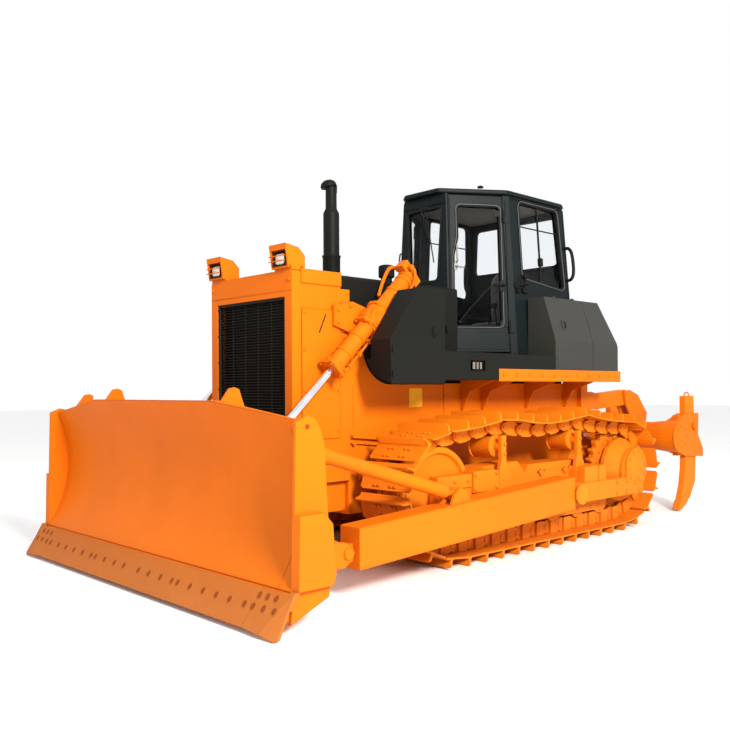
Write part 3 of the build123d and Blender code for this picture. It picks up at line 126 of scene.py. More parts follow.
# What a finish doesn't set comes from here; lengths are in metres, scales per metre.
plainPaint = {"cloudScale": 1.4, "grimeScale": 9.0, "dustTop": 0.9, "dust": 0.2, "edge": 0.006, "wear": 0.4,
              "roughLow": 0.35, "roughHigh": 0.55, "peelScale": 220.0, "peel": 0.05, "specular": 0.06}
finishes = {
    "orange": {"base": (0.62, 0.128, 0.003), "worn": (0.30, 0.10, 0.02), "dusty": (0.46, 0.17, 0.03)},
    # lit_casting: cast parts in the orange paint, rougher and dustier; the base is a touch lighter and
    # yellower than the orange as a painted highlight for the strongly lit running gear
    "lit_casting": {"base": (0.66, 0.155, 0.005), "worn": (0.26, 0.10, 0.03), "dusty": (0.40, 0.16, 0.04),
                "dust": 0.35, "roughLow": 0.45, "roughHigh": 0.7, "peel": 0.22, "peelScale": 90.0,
                "wear": 0.6},
    "edge": {"base": (0.40, 0.105, 0.012), "worn": (0.30, 0.14, 0.06), "dusty": (0.42, 0.2, 0.09),
             "dust": 0.45, "dustTop": 0.4, "roughLow": 0.5, "roughHigh": 0.75, "peel": 0.2, "wear": 0.8},
    # socket: the orange paint darkened as painted shade, for holes, bolt sockets and recesses
    "socket": {"base": (0.22, 0.045, 0.006), "worn": (0.1, 0.03, 0.01), "dusty": (0.2, 0.1, 0.05),
               "roughLow": 0.6, "roughHigh": 0.8, "peel": 0.2},
    "plate": {"base": (0.86, 0.42, 0.02), "worn": (0.4, 0.2, 0.05), "dusty": (0.6, 0.4, 0.2), "peel": 0.03},
    "black": {"base": (0.006, 0.0062, 0.0052), "worn": (0.04, 0.04, 0.036), "dusty": (0.05, 0.047, 0.04),
              "roughLow": 0.42, "roughHigh": 0.6, "wear": 0.25, "dustTop": 2.4, "dust": 0.1,
              "specular": 0.09},
    "tank": {"base": (0.026, 0.026, 0.022), "worn": (0.05, 0.05, 0.045), "dusty": (0.05, 0.048, 0.04),
             "roughLow": 0.38, "roughHigh": 0.52, "wear": 0.2, "dustTop": 2.4, "dust": 0.15,
             "specular": 0.22},
    "cab": {"base": (0.0065, 0.010, 0.011), "worn": (0.03, 0.03, 0.033), "dusty": (0.03, 0.03, 0.03),
            "roughLow": 0.34, "roughHigh": 0.46, "wear": 0.12, "dust": 0.0, "specular": 0.06},
    "trim": {"base": (0.17, 0.17, 0.16), "worn": (0.3, 0.3, 0.28), "dusty": (0.2, 0.2, 0.18),
             "roughLow": 0.3, "roughHigh": 0.45, "peel": 0.05, "wear": 0.2, "dust": 0.0, "specular": 0.3},
    "iron": {"base": (0.016, 0.014, 0.011), "worn": (0.04, 0.035, 0.03), "dusty": (0.06, 0.05, 0.04),
             "roughLow": 0.6, "roughHigh": 0.85, "wear": 0.3, "dust": 0.1, "specular": 0.09},
    "zinc": {"base": (0.52, 0.5, 0.46), "worn": (0.3, 0.28, 0.25), "dusty": (0.4, 0.36, 0.3),
             "roughLow": 0.3, "roughHigh": 0.5, "peel": 0.1, "wear": 0.2, "specular": 0.6},
    "rubber": {"base": (0.012, 0.0125, 0.013), "worn": (0.05, 0.05, 0.05), "dusty": (0.09, 0.085, 0.08),
               "roughLow": 0.6, "roughHigh": 0.8, "peel": 0.15, "peelScale": 400.0, "wear": 0.1},
    "lining": {"base": (0.16, 0.14, 0.12), "worn": (0.2, 0.18, 0.15), "dusty": (0.2, 0.18, 0.15),
               "roughLow": 0.7, "roughHigh": 0.9, "peel": 0.3, "peelScale": 300.0, "wear": 0.1},
}


# Enamel over metal: cloudy shade, dust that thickens downwards, chips along the edges, orange-peel bump.
def paint(name, finish):
    look = {**plainPaint, **finish}
    material, tree, shader = newMaterial(name)
    links = tree.links
    dark = tuple(c * 0.93 for c in look["base"])
    light = tuple(c * 1.05 for c in look["base"])
    shade = rampNode(tree, noiseNode(tree, look["cloudScale"], 3.0), ((0.3, dark), (0.7, light)))
    grime = noiseNode(tree, look["grimeScale"], 8.0, 0.7)
    split = tree.nodes.new("ShaderNodeSeparateXYZ")
    coords = tree.nodes.new("ShaderNodeTexCoord")
    links.new(coords.outputs["Object"], split.inputs["Vector"])
    lowness = rangeNode(tree, split.outputs["Z"], look["dustTop"], 0.0, 0.0, look["dust"])
    dusted = mixColour(tree, product(tree, lowness, grime), shade, look["dusty"])
    bevel = tree.nodes.new("ShaderNodeBevel")
    bevel.samples = 4
    bevel.inputs["Radius"].default_value = look["edge"]
    geometry = tree.nodes.new("ShaderNodeNewGeometry")
    corner = tree.nodes.new("ShaderNodeVectorMath")
    corner.operation = "DOT_PRODUCT"
    links.new(bevel.outputs["Normal"], corner.inputs[0])
    links.new(geometry.outputs["Normal"], corner.inputs[1])
    edge = rangeNode(tree, corner.outputs["Value"], 0.97, 0.80, 0.0, look["wear"])
    chipped = rampNode(tree, noiseNode(tree, 60.0, 3.0, 0.7), ((0.45, (0, 0, 0)), (0.6, (1, 1, 1))))
    colour = mixColour(tree, product(tree, edge, chipped), dusted, look["worn"])
    links.new(colour, shader.inputs["Base Color"])
    roughness = rangeNode(tree, grime, 0.0, 1.0, look["roughLow"], look["roughHigh"])
    links.new(roughness, shader.inputs["Roughness"])
    bump = bumpNode(tree, noiseNode(tree, look["peelScale"], 2.0), look["peel"], 0.002)
    links.new(bevel.outputs["Normal"], bump.inputs["Normal"])
    links.new(bump.outputs["Normal"], shader.inputs["Normal"])
    shader.inputs["Specular IOR Level"].default_value = look["specular"]
    return material


# Clear glass: a low index keeps the view through it nearly straight, and a faint smear varies its gloss.
def glassMaterial():
    material, tree, shader = newMaterial("tinted_glass")
    shader.inputs["Base Color"].default_value = (0.93, 0.95, 0.96, 1.0)
    shader.inputs["Transmission Weight"].default_value = 1.0
    shader.inputs["IOR"].default_value = 1.12
    shader.inputs["Specular IOR Level"].default_value = 0.5
    smear = noiseNode(tree, 3.0, 5.0)
    tree.links.new(rangeNode(tree, smear, 0.0, 1.0, 0.0, 0.04), shader.inputs["Roughness"])
    return material


# Hard chrome: a faint oil film drawn out along the rod varies the gloss.
def chromeMaterial():
    material, tree, shader = newMaterial("chrome_rod")
    shader.inputs["Metallic"].default_value = 1.0
    film = noiseNode(tree, 25.0, 4.0, 0.6, (1.0, 0.2, 0.2))
    tone = rampNode(tree, film, ((0.3, (0.62, 0.64, 0.68)), (0.7, (0.86, 0.87, 0.9))))
    tree.links.new(tone, shader.inputs["Base Color"])
    tree.links.new(rangeNode(tree, film, 0.0, 1.0, 0.08, 0.2), shader.inputs["Roughness"])
    return material


# Lamp lens: upright ribs that also bump the surface; the pale warm colour is a painted reflection of a bright
# reflector, striped lighter and darker along the ribs as painted glints.
def lensMaterial():
    material, tree, shader = newMaterial("lamp_lens")
    ribs = waveNode(tree, 28.0, "X")
    tone = rampNode(tree, ribs, ((0.2, (0.5, 0.42, 0.33)), (0.8, (0.86, 0.8, 0.7))))
    tree.links.new(tone, shader.inputs["Base Color"])
    tree.links.new(bumpNode(tree, ribs, 0.5, 0.002).outputs["Normal"], shader.inputs["Normal"])
    shader.inputs["Roughness"].default_value = 0.15
    return material


# Woven seat cloth: two sets of threads cross at a slant, with a slight fuzz.
def fabricMaterial():
    material, tree, shader = newMaterial("seat_cloth")
    weave = product(tree, waveNode(tree, 160.0, "X"), waveNode(tree, 160.0, "DIAGONAL"))
    tone = rampNode(tree, weave, ((0.1, (0.02, 0.02, 0.024)), (0.8, (0.075, 0.075, 0.085))))
    tree.links.new(tone, shader.inputs["Base Color"])
    tree.links.new(bumpNode(tree, weave, 0.4, 0.001).outputs["Normal"], shader.inputs["Normal"])
    shader.inputs["Roughness"].default_value = 0.85
    shader.inputs["Sheen Weight"].default_value = 0.3
    return material


materials = {key: paint(f"{key}_finish", finish) for key, finish in finishes.items()}
materials.update(glass=glassMaterial(), chrome=chromeMaterial(), lens=lensMaterial(), fabric=fabricMaterial())
nodeMaterials = {
    "orange": ("main_frame", "radiator_guard", "front_crossmember", "fenders", "lift_brackets",
               "ripper_brackets", "blade", "push_arms", "brace", "tilt_cylinder", "ripper_frame",
               "ripper_links", "ripper_beam", "lift_barrel_left", "lift_barrel_right", "ripper_barrels",
               "lamp_hoods"),
    "lit_casting": ("roller_frames", "idlers", "sprockets", "final_drives", "rollers", "track_left",
                "track_right", "shanks"),
    "edge": ("cutting_edges", "end_bits"),
    "black": ("hood", "front_lockers", "platforms", "exhaust", "console", "cab_floor"),
    "tank": ("side_lockers", "fuel_tank"),
    "cab": ("cab_front", "cab_sides", "cab_rear", "cab_roof", "door_left", "door_right"),
    "iron": ("engine", "radiator", "grille"),
    "chrome": ("lift_rod_left", "lift_rod_right", "ripper_rods"),
    "glass": ("cab_glass", "door_glass_left", "door_glass_right"),
    "lens": ("headlamps",),
    "fabric": ("seat",),
}
for key, names in nodeMaterials.items():
    for name in names:
        mesh = nodes[name].data
        mesh.materials.clear()
        mesh.materials.append(materials[key])
print("stage: materials assigned")


# Surfaces: a shape is its points in millimetres and a list of face tables, one table per number of corners.
def unit(vectors):
    vectors = np.asarray(vectors, float)
    return vectors / np.linalg.norm(vectors, axis=-1, keepdims=True)


xAxis, yAxis, zAxis = np.eye(3)
shading = {"sharpFrom": 32.0, "bevelFrom": 50.0}  # degrees between faces


# Quads between the rows of a grid of points; either way may run round to its start.
def gridFaces(rows, columns, wrapRows=False, wrapColumns=True):
    row = np.arange(rows if wrapRows else rows - 1)[:, None]
    column = np.arange(columns if wrapColumns else columns - 1)[None, :]
    nextRow, nextColumn = (row + 1) % rows, (column + 1) % columns
    corners = [row * columns + column, row * columns + nextColumn,
               nextRow * columns + nextColumn, nextRow * columns + column]
    return np.stack(corners, axis=-1).reshape(-1, 4)


# Turns faces outwards: the volume, a sum over fan triangles of first . (second x third), must be positive.
def outward(points, tables):
    points = np.asarray(points, float)
    middle = points - points.mean(axis=0)
    volume = 0.0
    for faces in tables:
        for k in range(1, faces.shape[1] - 1):
            normals = np.cross(middle[faces[:, k]], middle[faces[:, k + 1]])
            volume += np.sum(middle[faces[:, 0]] * normals)
    return (points, tables) if volume > 0 else (points, [faces[:, ::-1] for faces in tables])


# Rows of points joined into a skin; open rows are closed by a cap at each end.
def skin(rows, wrapRows=False):
    count, steps = rows.shape[:2]
    tables = [gridFaces(count, steps, wrapRows)]
    if not wrapRows:
        tables += [np.arange(steps)[None, ::-1], (count - 1) * steps + np.arange(steps)[None, :]]
    return outward(rows.reshape(-1, 3), tables)


# A profile of (distance, radius) turned about a line:
# point = origin + distance * w + radius * (u cos a + v sin a)
def lathe(profile, origin, direction=(1, 0, 0), steps=24, closed=False):
    w = unit(direction)
    u = unit(np.cross((0, 0, 1) if abs(w[2]) < 0.9 else (1, 0, 0), w))
    v = np.cross(w, u)
    angle = np.arange(steps)[:, None] * 2 * np.pi / steps
    spokes = np.cos(angle) * u + np.sin(angle) * v
    profile = np.array(profile, float)
    rows = np.array(origin, float) + profile[:, 0, None, None] * w + profile[:, 1, None, None] * spokes
    return skin(rows, closed)


# An outline on the axes u and v, moved through depth.
def prism(outline, origin, u, v, depth):
    outline = np.array(outline, float)
    base = np.array(origin, float) + outline[:, :1] * np.array(u, float) + outline[:, 1:] * np.array(v, float)
    return skin(np.stack([base, base + np.array(depth, float)]))


def block(xs, ys, zs):
    return prism(rectangle(*xs, *ys), (0, 0, zs[0]), xAxis, yAxis, (0, 0, zs[1] - zs[0]))


# A plate across the vehicle: outline of (y, z) from x0 to x1.
def slab(outline, x0, x1):
    return prism(outline, (x0, 0, 0), yAxis, zAxis, (x1 - x0, 0, 0))


def rectangle(u0, u1, v0, v1):
    return np.array(((u0, v0), (u1, v0), (u1, v1), (u0, v1)), float)


# A profile given for its first half, completed by its reflection
def fullProfile(half):
    half = np.array(half, float)
    return np.concatenate([half, (half * (-1, 1))[::-1]])


def evenAngles(count, start=0.0):
    return np.arange(count) * 2 * np.pi / count + start


# Points on a circle: centre + radius * (u cos a + v sin a)
def ringAround(centre, radius, angles, u=yAxis, v=zAxis):
    angles = np.array(angles)[:, None]
    return np.array(centre, float) + radius * (np.cos(angles) * u + np.sin(angles) * v)


# Copies of a shape at many origins: point = origin + x * u + y * v + z * w, where frames holds each copy's
# axes u, v and w as rows
def copies(shape, origins, frames=None):
    points, tables = shape
    origins = np.array(origins, float).reshape(-1, 1, 3)
    turned = points[None] if frames is None else np.einsum("nj,kji->kni", points, frames)
    start = len(points) * np.arange(len(origins))[:, None, None]
    tables = [(faces[None] + start).reshape(-1, faces.shape[1]) for faces in tables]
    return (origins + turned).reshape(-1, 3), tables


# The same shape on the machine's other side.
def mirrored(shape):
    return shape[0] * np.array((-1.0, 1.0, 1.0)), [faces[:, ::-1] for faces in shape[1]]


def pair(*shapes):
    return list(shapes) + [mirrored(shape) for shape in shapes]


# Smooth curve through knots: each point mixes its four nearest knots with cubic weights.
def curve(knots, steps=6):
    knots = np.array(knots, float)
    full = np.concatenate([2 * knots[:1] - knots[1:2], knots, 2 * knots[-1:] - knots[-2:-1]])
    t = (np.arange(steps) / steps)[:, None]
    weights = 0.5 * np.hstack([-t + 2 * t**2 - t**3, 2 - 5 * t**2 + 3 * t**3,
                               t + 4 * t**2 - 3 * t**3, t**3 - t**2])
    windows = np.stack([full[k:len(knots) - 1 + k] for k in range(4)], axis=1)
    return np.concatenate([np.einsum("sw,nwd->nsd", weights, windows).reshape(-1, 3), knots[-1:]])


# A round bar along a path: each ring stands square to the path, turned from one reference direction.
def tube(path, radius, sides=10, reference=(1, 0, 0)):
    path = np.array(path, float)
    tangent = unit(np.gradient(path, axis=0))
    u = unit(np.cross(reference, tangent))
    v = np.cross(tangent, u)
    angle = np.arange(sides)[None, :, None] * 2 * np.pi / sides
    return skin(path[:, None] + radius * (np.cos(angle) * u[:, None] + np.sin(angle) * v[:, None]))


# Bolts with a washer, all along one direction.
def bolts(places, direction, radius=15.0, height=12.0):
    washer = lathe(((-3, radius * 1.5), (3, radius * 1.5)), (0, 0, 0), direction, 12)
    hexagon = ((2, radius * 1.15), (height * 0.8, radius * 1.15), (height, radius * 0.95))
    head = lathe(hexagon, (0, 0, 0), direction, 6)
    return [copies(washer, places), copies(head, places)]


def domes(places, direction, radius, height):
    profile = ((-3, radius), (height * 0.4, radius), (height * 0.8, radius * 0.75), (height, radius * 0.4))
    return copies(lathe(profile, (0, 0, 0), direction, 12), places)


# Points of an outline moved inwards or outwards by an amount, square to its sides.
def offsetOutline(outline, amount):
    outline = np.array(outline, float)
    ahead, behind = unit(np.roll(outline, -1, 0) - outline), unit(outline - np.roll(outline, 1, 0))
    normal = np.stack([ahead[:, 1] + behind[:, 1], -ahead[:, 0] - behind[:, 0]], axis=1)
    return outline + normal * amount / (1 + np.sum(ahead * behind, axis=1, keepdims=True))


# An outline with every corner rounded: each arc runs between the tangent points of its two sides.
def roundedOutline(points, radius, steps=5):
    points = np.array(points, float)
    toPrevious = unit(np.roll(points, 1, 0) - points)
    toNext = unit(np.roll(points, -1, 0) - points)
    half = np.arccos(np.clip(np.sum(toPrevious * toNext, axis=1), -1, 1))[:, None] / 2
    middle = points + unit(toPrevious + toNext) * radius / np.sin(half)
    start = points + toPrevious * radius / np.tan(half) - middle
    end = points + toNext * radius / np.tan(half) - middle
    t = np.linspace(0, 1, steps)[None, :, None]
    spokes = unit(start[:, None] * (1 - t) + end[:, None] * t) * radius
    return (middle[:, None] + spokes).reshape(-1, 2)


# A band along a closed outline on a plane, from offset inner to outer and from low to high above the plane.
def band(outline, plane, inner, outer, low, high):
    origin, u, v, w = plane
    rows = []
    for amount, height in ((inner, low), (outer, low), (outer, high), (inner, high)):
        ring = offsetOutline(outline, amount)
        rows.append(ring[:, :1] * u + ring[:, 1:] * v + origin + w * height)
    return skin(np.stack(rows), True)


# An outline on a plane, moved from low to high above it.
def onPlane(plane, outline, low, high):
    origin, u, v, w = plane
    return prism(outline, origin + w * low, u, v, w * (high - low))


# One object from many shapes: it rides a body, carries a finish and may stand in for nodes of the part.
def makePiece(name, body, key, shapes, bevel=0.0, replaced=()):
    start, points, faces = 0, [], []
    for shapePoints, tables in shapes:
        points.append(shapePoints)
        faces += [row for table in tables for row in (table + start).tolist()]
        start += len(shapePoints)
    points = (np.concatenate(points) + np.array((0.0, lengthShift, 0.0))) * 0.001
    mesh = bpy.data.meshes.new(name)
    mesh.from_pydata(points.tolist(), [], faces)
    mesh.polygons.foreach_set("use_smooth", np.ones(len(faces), bool))
    mesh.set_sharp_from_angle(angle=math.radians(shading["sharpFrom"]))
    mesh.materials.append(materials[key])
    mesh.update()
    piece = bpy.data.objects.new(name, mesh)
    bpy.context.collection.objects.link(piece)
    if bevel:
        modifier = piece.modifiers.new("bevel", "BEVEL")
        modifier.width = bevel * 0.001
        modifier.segments = 1
        modifier.limit_method = "ANGLE"
        modifier.angle_limit = math.radians(shading["bevelFrom"])
    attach(piece, body)
    if replaced:
        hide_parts(*replaced)
    return piece


# Tracks
track = {"middle": 1000.0, "idlerY": -1357.0, "sprocketY": 1373.0, "axleZ": 597.0, "shoes": 38, "teeth": 25,
         "idlerRadius": 434.0, "sprocketRadius": 430.0, "groundZ": 148.0, "groundInset": 150.0,
         "carried": ((521.0, 1122.0), (-629.0, 1122.0)), "idlerTop": (40.0, 1031.0),
         "sags": (23.1, 66.0, 13.2), "shoeHalf": 280.0, "shoeClip": 20.0, "shoeLow": 62.0, "shoeHigh": 76.0,
         "grouserTop": 147.0, "grouserAt": 34.5, "rail": -62.0, "boltsAlong": (92, 172),
         "boltsAcross": (-113, -67, 67, 113)}


# Pins stand at equal steps on the loop of bottom run, sprocket, top run and idler.
# A span of the top run hangs below its chord by 4 * sag * t * (1 - t).
def trackPins():
    idler, sprocket, axle = track["idlerY"], track["sprocketY"], track["axleZ"]
    turn = np.radians(4 + np.arange(37) * 172 / 36)[:, None]
    rear = np.array((sprocket, axle)) + track["sprocketRadius"] * np.hstack([np.sin(turn), -np.cos(turn)])
    front = np.array((idler, axle)) + track["idlerRadius"] * np.hstack([-np.sin(turn), np.cos(turn)])
    inset, ground = track["groundInset"], track["groundZ"]
    bottom = np.array(((idler + inset, ground), (sprocket - inset, ground)))
    t = np.linspace(0, 1, 9)[:, None]
    behind, height = track["idlerTop"]
    stops = np.array((rear[-1], *track["carried"], (idler + behind, height)))
    spans = [start + (end - start) * t - np.hstack([0 * t, 4 * sag * t * (1 - t)])
             for start, end, sag in zip(stops[:-1], stops[1:], track["sags"])]
    path = np.concatenate([bottom, rear, *spans, front, bottom[:1]])
    reach = np.concatenate([[0.0], np.cumsum(np.hypot(*np.diff(path, axis=0).T))])
    at = np.arange(track["shoes"]) * reach[-1] / track["shoes"]
    return np.stack([np.interp(at, reach, path[:, 0]), np.interp(at, reach, path[:, 1])], axis=1)


pins = trackPins()
run = np.roll(pins, -1, 0) - pins
pitch = float(np.hypot(*run.T).mean())
run = unit(run)
# Each link's axes are along the chain, across the vehicle and outwards.
linkFrames = np.zeros((track["shoes"], 3, 3))
linkFrames[:, 0, 1:] = run
linkFrames[:, 1, 0] = 1.0
linkFrames[:, 2, 1], linkFrames[:, 2, 2] = run[:, 1], -run[:, 0]


def alongChain(shape, middle):
    return copies(shape, np.column_stack([np.full(len(pins), middle), pins]), linkFrames)


# A shoe is one profile of plate, curled lip and grouser at four stations across, drawn in at its ends.
def shoeShape():
    low, high, top, at, half, cut = (
        track[key] for key in ("shoeLow", "shoeHigh", "grouserTop", "grouserAt", "shoeHalf", "shoeClip"))
    profile = np.array(((-3, low), (pitch - 10, low), (pitch - 4, low + 5), (pitch - 4, high - 3),
                        (pitch - 9, high), (at + 22, high), (at + 12, high + 7), (at + 7, top - 3),
                        (at + 3, top), (at - 4, top), (at - 8, top - 3), (at - 13, high + 8),
                        (at - 24, high + 2), (-4, high + 7), (-9, high + 4)))
    rows = []
    for x, clip in ((-1, 1), (-1 + cut / half, 0), (1 - cut / half, 0), (1, 1)):
        along = np.clip(profile[:, 0], clip * (cut - 3) - 10 * (1 - clip), pitch - 4 - clip * cut)
        height = np.minimum(profile[:, 1], top - clip * 14)
        rows.append(np.stack([along, np.full(len(along), x * half), height], axis=1))
    return skin(np.stack(rows))


# A link is two plates side by side: the front one hugs its own pin, the rear one the next pin.
def linkShapes():
    half = np.radians(np.linspace(-90, 90, 7))
    nose = np.stack([-42 * np.cos(half), 42 * np.sin(half)], axis=1)
    front = np.concatenate([nose, ((36, 62), (132, 62), (132, -50), (120, -62), (34, -62))])
    rear = front * (-1, 1) + (pitch, 0)
    shapes = []
    for strand in (-1, 1):
        for outline, inner, outer in ((front, 68, 89), (rear, 91, 112)):
            x0, x1 = sorted((strand * inner, strand * outer))
            shapes.append(prism(outline, (0, x0, 0), xAxis, zAxis, (0, x1 - x0, 0)))
    return shapes


chainPin = lathe(fullProfile(((-119, 19), (-119, 23), (-66, 23), (-66, 31))), (0, 0, 0), yAxis, 12)
shoeBolt = lathe(((0, 17), (9, 17), (12, 14)), (0, 0, 0), zAxis, 6)
boltPlaces = [(along, across, track["shoeHigh"])
              for along in track["boltsAlong"] for across in track["boltsAcross"]]
for side, middle in (("right", -track["middle"]), ("left", track["middle"])):
    makePiece(f"shoes_{side}", "chassis", "lit_casting", [alongChain(shoeShape(), middle)], 1.5,
              (f"track_{side}",))
    makePiece(f"links_{side}", "chassis", "lit_casting", [alongChain(shape, middle) for shape in linkShapes()])
    makePiece(f"chain_pins_{side}", "chassis", "lit_casting", [alongChain(chainPin, middle)])
    makePiece(f"shoe_bolts_{side}", "chassis", "lit_casting", [alongChain(copies(shoeBolt, boltPlaces), middle)])
print("stage: tracks")


# Wheels of the track
wheels = {"rim": 376.0, "tooth": 46.0, "rimBolts": (40.0, 328.0, 20), "idler": 370.0,
          "idlerBolts": (126.0, 88.0, 8), "roller": 107.5, "rollerY": [-957.0 + 388 * n for n in range(6)],
          "rollerZ": 318.3, "carrier": 98.0, "carrierY": (-629.0, 521.0), "carrierGap": 0.7}


# Bolts in a ring on both faces of a wheel; ring holds their distance out, radius and number.
def faceBolts(axle, ring, radius, height):
    out, reach, count = ring
    spots = ringAround(axle + xAxis * out, reach, evenAngles(count))
    return bolts(spots, xAxis, radius, height) + bolts(spots * (-1, 1, 1), -xAxis, radius, height)


# The toothed rim's radius runs smoothly from root to tip and back, once per tooth.
def sprocketShapes():
    axle = np.array((0, track["sprocketY"], track["axleZ"]))
    rearmost = pins[np.argmax(pins[:, 0])] - axle[1:]
    phase = math.atan2(rearmost[1], rearmost[0]) + math.pi / track["teeth"]
    turn = evenAngles(track["teeth"] * 10)
    share = np.abs((turn * track["teeth"] / (2 * np.pi) + 0.5) % 1 - 0.5)
    rise = np.clip((0.36 - share) / 0.24, 0, 1)
    radius = wheels["rim"] + wheels["tooth"] * rise * rise * (3 - 2 * rise)
    rim = skin(np.stack([ringAround(axle + xAxis * x, (radius - cut)[:, None], turn + phase)
                         for x, cut in ((-34, 5), (-29, 0), (29, 0), (34, 5))]))
    dish = lathe(((-118, 90), (-118, 236), (-108, 250), (-42, 300), (-40, 352), (40, 352), (42, 300),
                  (84, 256), (92, 244), (92, 90)), axle, xAxis, 40)
    return [rim, dish] + faceBolts(axle, wheels["rimBolts"], 13, 14)


def idlerShapes():
    r = wheels["idler"]
    profile = fullProfile(((-126, 120), (-92, 128), (-78, 150), (-78, r - 78), (-88, r - 58), (-112, r - 46),
                           (-112, r - 6), (-106, r), (-62, r), (-57, r + 18), (-50, r + 20)))
    axle = np.array((0, track["idlerY"], track["axleZ"]))
    return [lathe(profile, axle, xAxis, 56)] + faceBolts(axle, wheels["idlerBolts"], 10, 10)


def rollerShapes():
    r, c = wheels["roller"], wheels["carrier"]
    flanged = ((-137, 34), (-135, 44), (-126, 46), (-125, 118), (-121, 128), (-116, 128), (-113, r), (-58, r))
    plain = fullProfile(flanged + ((-52, r - 12),))
    waist = fullProfile(flanged + ((-54, 56), (-40, 50)))
    places = [(0, y, wheels["rollerZ"]) for y in wheels["rollerY"]]
    shapes = [copies(lathe(plain, (0, 0, 0), xAxis, 32), places[:-1]), lathe(waist, places[-1], xAxis, 32)]
    # A carrier roller stands where the lowest rail chord above it just rests on it.
    rail = pins + track["rail"] * linkFrames[:, 2, 1:]
    railEnd = np.roll(pins, -1, 0) + track["rail"] * linkFrames[:, 2, 1:]
    first, last = np.minimum(rail[:, 0], railEnd[:, 0]), np.maximum(rail[:, 0], railEnd[:, 0])
    for y in wheels["carrierY"]:
        above = (first < y + 30) & (last > y - 30) & (pins[:, 1] > 800)
        p, q = rail[above], railEnd[above]
        slope = (q[:, 1] - p[:, 1]) / (q[:, 0] - p[:, 0])
        clearance = (c + wheels["carrierGap"]) * np.hypot(1, slope)
        z = float(np.min(p[:, 1] + slope * (y - p[:, 0]) - clearance))
        profile = ((-118, 60), (-118, c + 10), (-114, c + 14), (-110, c + 10), (-108, c - 0.5),
                   (108, c - 0.5), (114, 88), (118, 60), (120, 48), (168, 48), (172, 40))
        shapes.append(lathe(profile, (0, y, z), xAxis, 28))
    return shapes


wheelPieces = (("sprocket_wheels", "sprockets", sprocketShapes()), ("idler_wheels", "idlers", idlerShapes()),
               ("track_rollers", "rollers", rollerShapes()))
for name, node, shapes in wheelPieces:
    shifted = [(points + xAxis * track["middle"], tables) for points, tables in shapes]
    makePiece(name, "chassis", "lit_casting", pair(*shifted), 0, (node,))
print("stage: wheels")


# Blade: cutting edges and end bits lie on one slanted plane, with u across and v down the slope.
blade = {"top": (-3377.0, 250.0), "foot": (-3529.0, 40.0), "innerEnd": 1530.0, "seams": (-628.0, 628.0),
         "gap": 1.5, "slope": 259.24, "thickness": 26.0, "reach": 1862.5, "drop": 282.7, "bitThickness": 18.0,
         "fold": (1700, 271), "boltDrop": 125,
         "boltRows": (114, 265, 433, 589, 667, 825, 987, 1143, 1295, 1458),
         "bitHoles": ((1554, 48), (1634, 46), (1717, 44), (1546, 124), (1650, 121), (1753, 118)),
         "liftPin": (700, -2925, 851), "armPin": (1430, -2649, 338)}
slopeWay = unit((0.0, blade["foot"][0] - blade["top"][0], blade["foot"][1] - blade["top"][1]))
outOfSlope = np.array((0.0, slopeWay[2], -slopeWay[1]))
edgePlane = (np.array((0.0, *blade["top"])), xAxis, slopeWay, outOfSlope)


def onSlope(places):
    places = np.array(places, float)
    return edgePlane[0] + places[:, :1] * xAxis + places[:, 1:] * slopeWay


def edgeShapes():
    stops = (-blade["innerEnd"],) + blade["seams"] + (blade["innerEnd"],)
    gap = blade["gap"]
    return [onPlane(edgePlane, rectangle(a + gap, b - gap, 0, blade["slope"]), -blade["thickness"], 0)
            for a, b in zip(stops[:-1], stops[1:])]


# An end bit is a facetted plate: a flat face, a fold towards its outer edge and a bevelled back.
def bitShapes():
    start, reach, drop, fold = blade["innerEnd"] + 3, blade["reach"], blade["drop"], blade["fold"]
    flat = ((start, 0), (reach - 22, 0), fold, (start, 259.5))
    bent = ((reach - 22, 0), (reach, drop - 30), (reach - 30, drop - 5), fold)
    shapes = []
    for outline, sunk in ((flat, (0, 0, 0, 0)), (bent, (0, 30, 24, 0))):
        face = onSlope(outline) - np.array(sunk)[:, None] * outOfSlope
        shapes.append(skin(np.stack([face, face - outOfSlope * blade["bitThickness"]])))
    return shapes


makePiece("cutting_edge_plates", "blade_frame", "edge", edgeShapes(), 2, ("cutting_edges",))
heel = slab(((-3372, 262), (-3336, 262), (-3336, 240), (-3360, 215), (-3395, 160), (-3420, 175)), 1803, 1850)
makePiece("end_bit_plates", "blade_frame", "edge", pair(*bitShapes(), heel), 2, ("end_bits",))
edgeSpots = onSlope([(side * x, blade["boltDrop"]) for side in (-1, 1) for x in blade["boltRows"]])
bitSpots = onSlope([(side * x, v) for side in (-1, 1) for x, v in blade["bitHoles"]])
# Plow bolt heads take the dark socket colour: painted shade of the countersunk sockets they sit in.
makePiece("plow_bolts", "blade_frame", "socket",
          [domes(edgeSpots, outOfSlope, 22, 5), domes(bitSpots, outOfSlope, 20, 5)])
seatRing = lathe(((-2, 27), (2, 27), (3, 24), (3, 21), (-2, 21)), (0, 0, 0), outOfSlope, 16, True)
makePiece("bolt_seats", "blade_frame", "edge", [copies(seatRing, edgeSpots), copies(seatRing, bitSpots)])


# The mouldboard's face is the arc through its top, middle and foot; welds and seams follow it.
board = {"arc": ((-3325, 1368), (-3156, 800), (-3344, 250)), "half": 1796, "low": 256, "high": 1366,
         "shoulder": 868, "shoulderFall": 121 / 932, "lift": 10, "sunk": -4.0}


def circleThrough(a, b, c):
    a, b, c = (np.array(p, float) for p in (a, b, c))
    middle = np.linalg.solve(2 * np.array((b - a, c - a)), np.array((b @ b - a @ a, c @ c - a @ a)))
    return middle, float(np.linalg.norm(a - middle))


boardCentre, boardRadius = circleThrough(*board["arc"])


def onBoard(z):
    z = np.asarray(z, float)
    return boardCentre[0] + np.sqrt(boardRadius**2 - (z - boardCentre[1])**2)


def boardLine(x, low, high, lift, count=14):
    z = np.linspace(low, high, count)
    return np.column_stack([np.full(count, x), onBoard(z) - lift, z])


